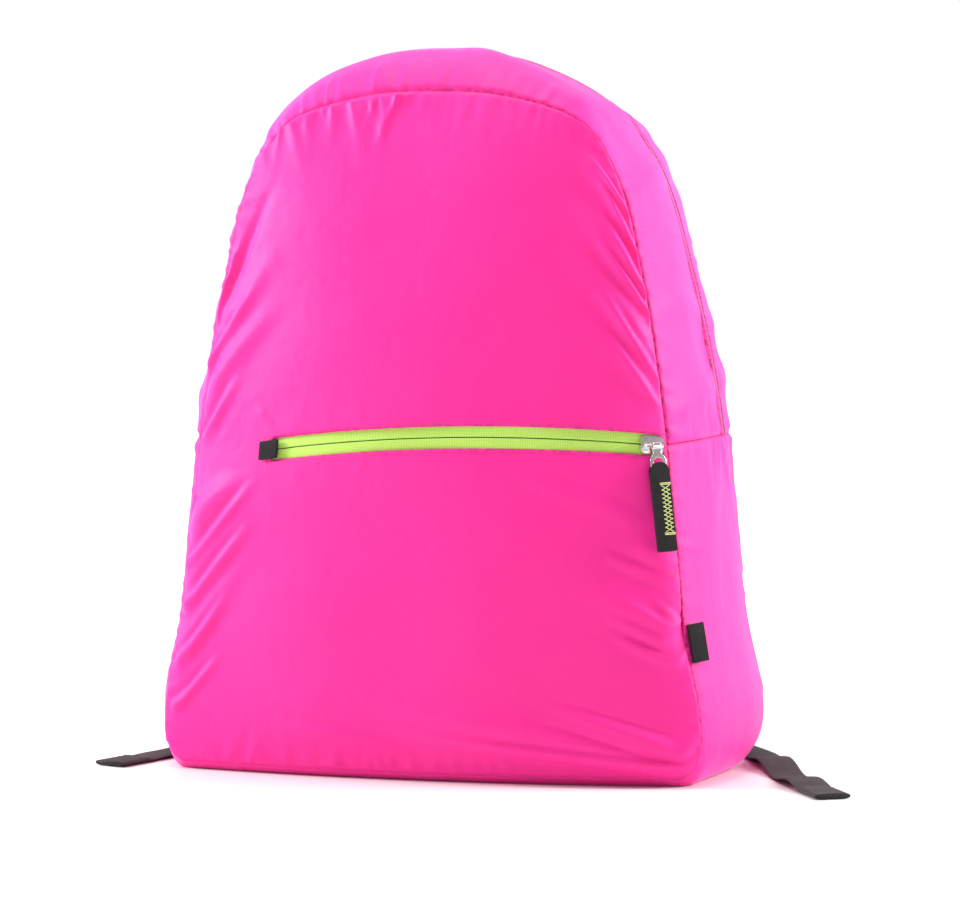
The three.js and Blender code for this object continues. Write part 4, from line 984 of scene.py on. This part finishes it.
# a tree that sets one small shape after another along its curves
def runTree(name):
    tree = bpy.data.node_groups.new(name, "GeometryNodeTree")
    addSocket(tree, "Geometry", "NodeSocketGeometry")
    defaults = {"Spacing": 0.003, "Length": 0.002, "Width": 0.0003, "Height": 0.0003}
    sizes = {key: addSocket(tree, key, "NodeSocketFloat", value) for key, value in defaults.items()}
    sizes["Material"] = addSocket(tree, "Material", "NodeSocketMaterial")
    tree.interface.new_socket(name="Geometry", in_out="OUTPUT", socket_type="NodeSocketGeometry")
    put = tree.nodes.new
    start, end = put("NodeGroupInput"), put("NodeGroupOutput")
    resample = put("GeometryNodeResampleCurve")
    resample.mode = "LENGTH"
    bead = put("GeometryNodeMeshUVSphere")
    for key, value in (("Segments", 6), ("Rings", 4), ("Radius", 1.0)):
        bead.inputs[key].default_value = value
    size = put("ShaderNodeCombineXYZ")
    halve = [put("ShaderNodeMath") for _ in range(3)]
    for node, key, axis in zip(halve, ("Width", "Height", "Length"), range(3)):
        node.operation = "MULTIPLY"
        node.inputs[1].default_value = 0.5
        tree.links.new(start.outputs[key], node.inputs[0])
        tree.links.new(node.outputs[0], size.inputs[axis])
    shape = put("GeometryNodeTransform")
    smoothed = put("GeometryNodeSetShadeSmooth")
    tangent, turn = put("GeometryNodeInputTangent"), put("FunctionNodeAlignRotationToVector")
    turn.axis = "Z"
    instance, real = put("GeometryNodeInstanceOnPoints"), put("GeometryNodeRealizeInstances")
    paint = put("GeometryNodeSetMaterial")
    links = [
        (start.outputs["Geometry"], resample.inputs["Curve"]),
        (start.outputs["Spacing"], resample.inputs["Length"]),
        (bead.outputs["Mesh"], shape.inputs["Geometry"]), (size.outputs[0], shape.inputs["Scale"]),
        (shape.outputs[0], smoothed.inputs["Geometry"]), (tangent.outputs[0], turn.inputs["Vector"]),
        (resample.outputs[0], instance.inputs["Points"]), (smoothed.outputs[0], instance.inputs["Instance"]),
        (turn.outputs[0], instance.inputs["Rotation"]), (instance.outputs[0], real.inputs[0]),
        (real.outputs[0], paint.inputs["Geometry"]), (start.outputs["Material"], paint.inputs["Material"]),
        (paint.outputs[0], end.inputs[0]),
    ]
    for a, b in links:
        tree.links.new(a, b)
    return tree, {key: socket.identifier for key, socket in sizes.items()}


stitchTree, stitchSockets = runTree("bead_run")


def curveObject(name, runs):
    curve = bpy.data.curves.new(name, "CURVE")
    curve.dimensions = "3D"
    for run in runs:
        spline = curve.splines.new("POLY")
        spline.points.add(len(run) - 1)
        places = np.concatenate([np.asarray(run) * 0.001, np.ones((len(run), 1))], axis=1)
        spline.points.foreach_set("co", places.astype(np.float32).ravel())
    made = bpy.data.objects.new(name, curve)
    bpy.context.scene.collection.objects.link(made)
    return made


def beadRun(name, runs, finish, slot, spacing, length, width, height=None, body="pack"):
    made = curveObject(name, runs)
    modifier = made.modifiers.new("beads", "NODES")
    modifier.node_group = stitchTree
    values = {"Spacing": spacing, "Length": length, "Width": width, "Height": height or width}
    for key, value in values.items():
        modifier[stitchSockets[key]] = value * 0.001
    modifier[stitchSockets["Material"]] = finish
    made = settle(made)
    return dress(made, slot, body=body)


def gussetRun(sFrom, sTo, offset, rise, count=500):
    s = np.linspace(sFrom, sTo, count)
    return gussetPoint(s, bag["mainZipDepth"] + offset / depthAt(s), rise)


coil = gussetRun(sideSeamAt + 0.004, 1 - sideSeamAt - 0.004, 0, -1.0)
beadRun("main_zip_coil", [coil], finishes["pinkTape"], "pink_tape", zips["toothEvery"], 1.0, 2.6, 1.2)
stitchRows = [gussetRun(sideSeamAt + 0.003, 1 - sideSeamAt - 0.003, side * 5.6, 0.92) for side in (-1, 1)]
beadRun("main_zip_stitches", stitchRows, finishes["pinkThread"], "pink_nylon", 3.0, 2.3, 0.42, 0.36)


def frontRun(uFrom, uTo, offset, lift=0.12, count=400):
    u = np.linspace(uFrom, uTo, count)
    v = zipLine(u) + offset / bag["archHeight"]
    grid, normal, _ = frontPoints(u[:, None], v[:, None])
    return (grid + normal * lift)[:, 0]


windowStitch = bag["zipWindow"] / 2 + 1.6
stitchEnds = bag["zipLeftEnd"] + 0.03, bag["zipRightEnd"] - 0.02
stitchRows = [frontRun(*stitchEnds, side * windowStitch) for side in (-1, 1)]
beadRun("pocket_zip_stitches", stitchRows, finishes["pinkThread"], "pink_nylon", 2.8, 2.1, 0.34, 0.26)
print("zips and their stitches made")


# a copy of a small CAD piece with its edges rounded
def rounded(node, name, finish, slot, edge, body="pack", angle=35):
    mesh = nodes[node].data.copy()
    shape = bmesh.new()
    shape.from_mesh(mesh)
    bmesh.ops.remove_doubles(shape, verts=shape.verts, dist=1e-6)
    bmesh.ops.dissolve_limit(shape, angle_limit=math.radians(3), verts=shape.verts, edges=shape.edges)
    bmesh.ops.recalc_face_normals(shape, faces=shape.faces)
    shape.to_mesh(mesh)
    shape.free()
    mesh.materials.clear()
    mesh.materials.append(finish)
    mesh.shade_smooth()
    made = bpy.data.objects.new(name, mesh)
    bpy.context.scene.collection.objects.link(made)
    bevel = made.modifiers.new("edges", "BEVEL")
    bevel.width, bevel.segments = edge * 0.001, 3
    bevel.limit_method, bevel.angle_limit = "ANGLE", math.radians(angle)
    bevel.harden_normals = False
    bevel.use_clamp_overlap = True
    made = settle(made)
    flatUv(made)
    return dress(made, slot, node, body=body)


# a UV map in metres for a flat piece, along its longest way and across it
def flatUv(made):
    mesh = made.data
    points = np.empty(len(mesh.vertices) * 3)
    mesh.vertices.foreach_get("co", points)
    points = points.reshape(-1, 3)
    middle = points - points.mean(axis=0)
    _, _, axes = np.linalg.svd(middle, full_matrices=False)
    flat = middle @ axes[:2].T
    loops = np.empty(len(mesh.loops), np.int32)
    mesh.loops.foreach_get("vertex_index", loops)
    layer = mesh.uv_layers.get("weave") or mesh.uv_layers.new(name="weave")
    layer.data.foreach_set("uv", flat[loops].astype(np.float32).ravel())


rounded("pocket_zip_slider", "zip_slider", finishes["nickel"], "nickel", 0.35)
rounded("pocket_zip_pull", "zip_pull", finishes["nickel"], "nickel", 0.3, body="pull")
rounded("main_zip_slider", "main_slider", finishes["nickel"], "nickel", 0.35)
rounded("pull_tab", "tab_on_pull", finishes["blackWeb"], "black_webbing", 0.7, body="pull")
rounded("zip_end_tab", "tab_at_zip_end", finishes["blackWeb"], "black_webbing", 1.1)
rounded("side_label", "label_loop", finishes["blackWeb"], "black_webbing", 0.15, angle=60)
for side in ("right", "left"):
    rounded("ladder_lock_" + side, "strap_lock_" + side, finishes["plastic"], "black_plastic", 0.7)
print("hardware made")

# shoulder straps and webs, for the right side: the left is mirrored, but its web lies another way
strapShape = {
    "width": 58, "wall": 6, "neck": 25, "gap": 0.3, "footOff": 23, "bulge": 34,
    "topX": bag["baseHalfWidth"] * 0.31, "topZ": bag["archHeight"] * 0.957,
    "footX": bag["baseHalfWidth"] * 0.667, "footZ": bag["archHeight"] * 0.319,
    "anchorX": bag["baseHalfWidth"] - 19, "anchorZ": 30, "web": 22, "webWall": 1.6, "turn": 3.6,
    "padColumns": 44, "padSteps": 20, "padPressure": 4, "padCap": 1.7,
    "rows": [(0, 1, 0), (0, 0.932, 0), (0.033, 0.856, 0.147), (0.1, 0.758, 0.47), (0.233, 0.625, 0.824),
             (0.433, 0.473, 1), (0.667, 0.322, 0.97), (0.85, 0.17, 0.824)],
}
webShape = {
    "railBelow": 6.5, "lockRail": 3.4, "upperWindow": 8, "lockBar": 3.0, "hemWall": 3.4, "groundGap": 0.25,
    "right": [(-32, 35, 0.44), (-21, 43, 0.19), (-19, 43.5, 0.076), (-16.5, 39, 0.0167), (-11, 29, 0.0076),
              (10, -6, 0.0076), (29, -56, 0.0076), (56, -122, 0.0076), (82, -168, 0.0076)],
    "left": [(-32, 35, 0.44), (-21, 43, 0.19), (-19, 43.5, 0.076), (-16.5, 39, 0.0167), (-10, 27, 0.0076),
             (6, -18, 0.0076), (12, -68, 0.0076), (21, -112, 0.0076), (34, -150, 0.0076)],
    "waves": {"right": 2.2, "left": 0.4},
}


def backSurface(x, z):
    halfWidth, height = bag["baseHalfWidth"], bag["archHeight"]
    u, v = np.array(x / halfWidth), np.array(z / height)
    for _ in range(30):
        p = backBase(u, v)
        u, v = u + (x - p[0]) / halfWidth, v + (z - p[2]) / height
    return float(backBase(u, v)[1])


def unit(vector):
    vector = np.asarray(vector, float)
    return vector / np.linalg.norm(vector)


# the point at a distance behind the back panel
def behindBack(x, z, away):
    return np.array([x, backSurface(x, z) + away, z])


strapEnd = behindBack(strapShape["footX"], strapShape["footZ"], strapShape["footOff"])
webAway = strapShape["gap"] + strapShape["webWall"]
anchor = behindBack(strapShape["anchorX"], strapShape["anchorZ"], webAway)
lockDown = unit(anchor + np.array([0, strapShape["turn"] + 0.9, 0]) - strapEnd)
lockAcross = unit(np.array([1, 0, 0]) - lockDown * lockDown[0])
lockUp = -lockDown
lockOut = np.cross(lockUp, lockAcross)
lockOrigin = strapEnd + lockDown * webShape["railBelow"]


leftward = np.array([-1, 1, 1])


def inLock(x, y, z):
    return lockOrigin + lockAcross * x + lockOut * y + lockUp * z


# a web's half turn round a bar of the lock, under it or over it
def webTurn(barZ, over, count):
    radius, angles = strapShape["turn"], np.linspace(0, math.pi, count)
    return [inLock(0, -radius * math.cos(a), barZ + over * radius * math.sin(a)) for a in angles]


# the directions across a path and out of its face, at each of its points
def pathAxes(points, sides):
    along = np.gradient(points, axis=0)
    along /= np.linalg.norm(along, axis=1, keepdims=True)
    side = sides - along * np.sum(sides * along, axis=1, keepdims=True)
    side /= np.linalg.norm(side, axis=1, keepdims=True)
    return side, np.cross(along, side)


# a band along points: each row has the direction of its width, half its width and its wall
def bandPiece(name, points, sides, halves, walls, finish, count=28, mirror=False, crown=0.0, edgePower=4.0):
    points, sides = np.asarray(points, float), np.asarray(sides, float)
    side, face = pathAxes(points, sides)
    angle = np.linspace(0, math.tau, count, endpoint=False)
    across = np.sign(np.cos(angle)) * np.abs(np.cos(angle)) ** (2 / edgePower)
    thick = np.sign(np.sin(angle)) * np.abs(np.sin(angle)) ** (2 / 2.6)
    halves = np.broadcast_to(np.asarray(halves, float), len(points))
    walls = np.broadcast_to(np.asarray(walls, float), len(points))
    lift = 1 + crown * (1 - across**2)
    rings = (points[:, None] + side[:, None] * (across[None, :, None] * halves[:, None, None])
             + face[:, None] * (thick[None, :, None] * lift[None, :, None] * walls[:, None, None] / 2))
    length = np.concatenate([[0], np.cumsum(np.linalg.norm(np.diff(points, axis=0), axis=1))])
    otherFace = np.where(np.sin(angle) < 0, 60.0, 0)
    uv = np.stack(np.broadcast_arrays(length[:, None], across * halves[:, None] + otherFace), axis=-1)
    if mirror:
        rings = rings * np.array([-1, 1, 1])
    index = np.arange(len(points) * count).reshape(-1, count)
    nextColumn = np.roll(index, -1, axis=1)
    quads = np.stack([index[:-1], nextColumn[:-1], nextColumn[1:], index[1:]], axis=-1)
    quads = quads.reshape(-1, 4).tolist()
    quads += [index[0][::-1].tolist(), index[-1].tolist()]
    if mirror:
        quads = [q[::-1] for q in quads]
    return meshObject(name, rings.reshape(-1, 3), quads, finish, uv.reshape(-1, 2), np.zeros(index.size))


def strapPath(count=130):
    p = strapShape
    points = []
    for out, up, off in p["rows"]:
        x, z = lerp(p["topX"], p["footX"], out), lerp(p["footZ"], p["topZ"], up)
        points.append(behindBack(x, z, p["gap"] + p["wall"] / 2 + off * p["bulge"]))
    points.append(strapEnd)
    path, _ = curveThrough(points, count)
    slope = backSurface(p["topX"] + 5, p["topZ"]) - backSurface(p["topX"] - 5, p["topZ"])
    share = np.linspace(0, 1, count + 1)[:, None]
    sides = lerp(unit([10, slope, 0])[None], lockAcross[None], share)
    narrowing = smooth(0.62, 1, share[:, 0])
    halves = lerp(p["width"] / 2, p["neck"] / 2, narrowing)
    return path, sides, halves


# the pad blown up inside its sewn rim by a short cloth simulation, its points moved no further than padCap
def puffed(pad, rows, columns):
    before = np.empty(rows * columns * 3)
    pad.data.vertices.foreach_get("co", before)
    half = columns // 2
    sewn = [r * columns + c for r in range(rows) for c in range(columns)
            if min(c, columns - c) < 2 or abs(c - half) < 2 or r < 2 or r > rows - 3]
    pad.vertex_groups.new(name="sewn").add(sewn, 1.0, "REPLACE")
    cloth = pad.modifiers.new("puff", "CLOTH").settings
    cloth.vertex_group_mass = "sewn"
    cloth.quality, cloth.mass = 6, 0.2
    cloth.tension_stiffness = cloth.compression_stiffness = 12
    cloth.shear_stiffness, cloth.bending_stiffness = 4, 0.3
    cloth.shrink_min = -0.06
    cloth.use_pressure, cloth.uniform_pressure_force = True, strapShape["padPressure"]
    cloth.effector_weights.gravity = 0
    for step in range(strapShape["padSteps"]):
        bpy.context.scene.frame_set(step + 1)
    pad = settle(pad)
    bpy.context.scene.frame_set(1)
    after = np.empty_like(before)
    pad.data.vertices.foreach_get("co", after)
    move = (after - before).reshape(-1, 3)
    size = np.linalg.norm(move, axis=1, keepdims=True)
    print("pad moved at most", round(float(size.max()) * 1000, 2), "mm")
    move *= np.minimum(1, strapShape["padCap"] * 0.001 / np.maximum(size, 1e-9))
    pad.data.vertices.foreach_set("co", before + move.ravel())
    pad.data.update()
    return pad


def makeStraps(side):
    p, mirror = strapShape, side == "left"
    path, sides, halves = strapPath()
    share = np.linspace(0, 1, len(path))
    ends = np.sqrt(np.clip(1 - np.clip((np.abs(share - 0.5) - 0.475) / 0.025, 0, 1) ** 2, 0.1, 1))
    pad = bandPiece("strap_pad_" + side, path, sides, halves - 1.2, p["wall"] * 0.6 * ends, finishes["nylon"],
                    crown=0.3, mirror=mirror, edgePower=5, count=p["padColumns"])
    pad = puffed(pad, len(path), p["padColumns"])
    more = pad.modifiers.new("soft", "SUBSURF")
    more.levels = more.render_levels = 1
    pad = settle(pad)
    dress(pad, "pink_nylon", "shoulder_strap_" + side)
    across, face = pathAxes(path, sides)
    stitches = []
    for sign, rim in ((-1, "in"), (1, "out")):
        edge = path + across * (halves - 1.6)[:, None] * sign
        binding = bandPiece(f"strap_binding_{side}_{rim}", edge, face, 2.6, 3.2, finishes["blackWeb"],
                            mirror=mirror, edgePower=3, count=14)
        dress(binding, "black_webbing")
        for level in (-1, 1):
            line = path + across * (halves - 2.6)[:, None] * sign + face * level * 2.72
            stitches.append(line[3:-3] * (leftward if mirror else 1))
    beadRun("strap_stitches_" + side, stitches, finishes["darkThread"], "black_webbing", 3.4, 2.5, 0.45, 0.4)
    top = webShape["railBelow"] + 9
    down = [inLock(0, -p["turn"], z) for z in np.linspace(top, 1.5, 8)]
    back = [inLock(0, p["turn"], z) for z in np.linspace(1.5, top, 8)]
    loop = down + webTurn(0, -1, 20) + back
    loopBand = bandPiece("lock_loop_" + side, loop, [lockAcross] * len(loop), p["web"] / 2, p["webWall"],
                         finishes["greyWeb"], mirror=mirror)
    dress(loopBand, "grey_webbing")


def makeWeb(side):
    p, w, mirror = strapShape, webShape, side == "left"
    barZ = -(w["lockRail"] / 2 + w["upperWindow"] + w["lockBar"] / 2)
    ground = np.array([(bag["baseHalfWidth"] + past, bag["backSeamY"] + behind, p["footZ"] * up)
                       for past, behind, up in w[side]])
    turn = webTurn(barZ, 1, 24)
    hang = [inLock(0, p["turn"], barZ - 12), inLock(0, p["turn"] + 0.6, barZ - 26)]
    tail, _ = curveThrough(np.vstack([hang, ground]), 260)
    share = np.linspace(0, 1, len(tail))
    lowest = p["webWall"] / 2 + w["groundGap"]
    lying = smooth(0.45, 0.55, share) * (1 - smooth(0.84, 0.97, share))
    wave = w["waves"][side] * lying * (1 - np.cos((share - 0.5) * 8 * math.pi))
    tail[:, 2] = np.maximum(tail[:, 2], lowest) + wave
    heading = unit((ground[5] - ground[3]) * np.array([1, 1, 0]))
    flat = np.array([-heading[1], heading[0], 0])
    below, near = inLock(0, -p["turn"], barZ - 14), inLock(0, -p["turn"], barZ - 3)
    up, _ = curveThrough(np.vstack([anchor, lerp(anchor, below, 0.5), below, near, turn[0]]), 40)
    points = np.vstack([up[:-1], turn, tail])
    turning = np.minimum(1, np.arange(len(tail)) / 60)[:, None]
    square = np.repeat(lockAcross[None], len(up) - 1 + len(turn), 0)
    sides = np.vstack([square, lerp(lockAcross[None], flat[None], turning)])
    walls = np.full(len(points), float(p["webWall"]))
    hemRows = 26
    rise = smooth(0, 3, np.arange(hemRows, dtype=float))
    walls[-hemRows:] = lerp(p["webWall"], w["hemWall"], rise)
    points[-hemRows:, 2] = lerp(points[-hemRows:, 2], w["hemWall"] / 2 + w["groundGap"], rise)
    band = bandPiece("web_" + side, points, sides, p["web"] / 2, walls, finishes["greyWeb"],
                     mirror=mirror, count=24)
    dress(band, "grey_webbing", "strap_web_" + side)
    rows = []
    for back in (4, 9):
        middle = points[-hemRows + back] + np.array([0, 0, w["hemWall"] / 2 - 0.12])
        reach = np.linspace(-8.5, 8.5, 30)[:, None]
        rows.append((middle + flat * reach) * (leftward if mirror else 1))
    beadRun("web_hem_stitches_" + side, rows, finishes["darkThread"], "grey_webbing", 2.2, 1.7, 0.5, 0.4)


for side in ("right", "left"):
    makeStraps(side)
    makeWeb(side)
print("straps and webs made")

# zigzag thread on the pull's tab, ended by bars
tabThread = {"across": 2.1, "high": 27, "zigs": 5, "right": 2.0, "down": 0.27, "barHalf": 2.8}


def tabFrame():
    mesh = nodes["pull_tab"].data
    points = np.empty(len(mesh.vertices) * 3)
    mesh.vertices.foreach_get("co", points)
    points = points.reshape(-1, 3) * 1000
    centre = (points.min(axis=0) + points.max(axis=0)) / 2
    _, _, axes = np.linalg.svd(points - points.mean(axis=0), full_matrices=False)
    up = axes[0] * np.sign(axes[0][2])
    across = axes[1] * np.sign(axes[1][0])
    out = np.cross(across, up)
    reach = (points - centre) @ np.stack([across, up, out]).T
    return centre, across, up, out, reach.min(axis=0), reach.max(axis=0)


def makeTabThread():
    p = tabThread
    centre, across, up, out, low, high = tabFrame()
    place = lambda x, z, rise: centre + across * (p["right"] + x) + up * z + out * (high[2] + rise)
    steps = p["zigs"] * 2 + 1
    top = high[1] - (high[1] - low[1]) * p["down"]
    bottom = top - p["high"]
    zigzag = []
    for start in (-1, 1):
        turns = [place(start * p["across"] * (-1) ** k, lerp(top, bottom, k / steps), 0.1 + 0.12 * start)
                 for k in range(steps + 1)]
        zigzag += [np.linspace(a, b, 12) for a, b in zip(turns[:-1], turns[1:])]
    bars = [np.array([place(x, z, 0.1) for x in np.linspace(-p["barHalf"], p["barHalf"], 12)])
            for z in (top + 0.9, top + 1.7, bottom - 0.9, bottom - 1.7)]
    beadRun("tab_zigzag", zigzag, finishes["limeThread"], "lime_tape", 1.0, 1.35, 0.75, 0.5, body="pull")
    beadRun("tab_bars", bars, finishes["limeThread"], "lime_tape", 0.9, 1.3, 0.7, 0.5, body="pull")


makeTabThread()
print("threads made")

# floor, light and camera
studio = {"azimuth": 15, "distance": 2.2, "height": 0.32, "aimX": 0.0127, "aimZ": 0.1876, "lens": 133.2,
          "skyFront": 0.35, "skyBack": 1.02}


def makeStage():
    floor = bpy.data.meshes.new("floor")
    floor.from_pydata([(-6, -6, 0), (6, -6, 0), (6, 6, 0), (-6, 6, 0)], [], [(0, 1, 2, 3)])
    made = bpy.data.objects.new("floor", floor)
    bpy.context.scene.collection.objects.link(made)
    f = Finish("pale_floor")
    mottle = f.noise(f.place(), 3, 2)
    x, y, _ = f.axes(f.place())
    farAway = f.ramp((x * x + y * y).root(), 0.35, 1.1)
    pale = f.blend(mottle, (0.84, 0.84, 0.84, 1), (0.86, 0.86, 0.86, 1))
    # painted light: the floor glows more the further it lies from the bag, whiting out the far floor while
    # the shadow by the bag stays
    glow = f.blend(farAway, (0, 0, 0, 1), (0.6, 0.6, 0.6, 1))
    floor.materials.append(f.finish(**{
        "Base Color": pale, "Roughness": 0.35, "Specular IOR Level": 0.3,
        "Emission Color": glow, "Emission Strength": 1.0}))
    made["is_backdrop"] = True


def areaLight(name, place, aim, size, power):
    light = bpy.data.lights.new(name, "AREA")
    light.shape, light.size, light.energy = "SQUARE", size, power
    made = bpy.data.objects.new(name, light)
    made.location = place
    made.rotation_euler = (Vector(aim) - Vector(place)).to_track_quat("-Z", "Y").to_euler()
    bpy.context.scene.collection.objects.link(made)


# white air, brighter behind the bag than in front of it
def makeSky():
    world = bpy.data.worlds.new("studio_white")
    world.use_nodes = True
    sky = world.node_tree
    direction, parts = sky.nodes.new("ShaderNodeTexCoord"), sky.nodes.new("ShaderNodeSeparateXYZ")
    level = sky.nodes.new("ShaderNodeMapRange")
    span = {"From Min": -0.35, "From Max": 0.6, "To Min": studio["skyFront"], "To Max": studio["skyBack"]}
    for socket, value in span.items():
        level.inputs[socket].default_value = value
    sky.links.new(direction.outputs["Generated"], parts.inputs[0])
    sky.links.new(parts.outputs["Y"], level.inputs["Value"])
    sky.links.new(level.outputs[0], sky.nodes["Background"].inputs["Strength"])
    sky.nodes["Background"].inputs["Color"].default_value = (1, 1, 1, 1)
    bpy.context.scene.world = world
    bpy.context.scene.view_settings.view_transform = "Standard"


def makeCamera():
    turn, distance = math.radians(studio["azimuth"]), studio["distance"]
    lens = bpy.data.cameras.new("photo_camera")
    lens.lens, lens.sensor_width, lens.sensor_fit = studio["lens"], 36, "HORIZONTAL"
    lens.clip_start, lens.clip_end = 0.05, 30
    camera = bpy.data.objects.new("photo_camera", lens)
    camera.location = (math.sin(turn) * distance, -math.cos(turn) * distance, studio["height"])
    aim = Vector((studio["aimX"] * math.cos(turn), studio["aimX"] * math.sin(turn), studio["aimZ"]))
    camera.rotation_euler = (aim - camera.location).to_track_quat("-Z", "Y").to_euler()
    bpy.context.scene.collection.objects.link(camera)
    bpy.context.scene.camera = camera


makeStage()
areaLight("above", (-0.1, -0.25, 2.0), (0, 0, 0.2), 0.9, 20)
areaLight("side_right", (1.7, 0.35, 0.8), (0, 0, 0.22), 0.6, 32)
areaLight("side_left", (-1.65, -0.5, 0.9), (0, 0, 0.22), 0.6, 40)
makeSky()
makeCamera()
print("stage made")

plain = lambda bounds: [[float(x) for x in corner] for corner in bounds]
{"cad": plain(cadBounds), "visual": plain(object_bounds())}
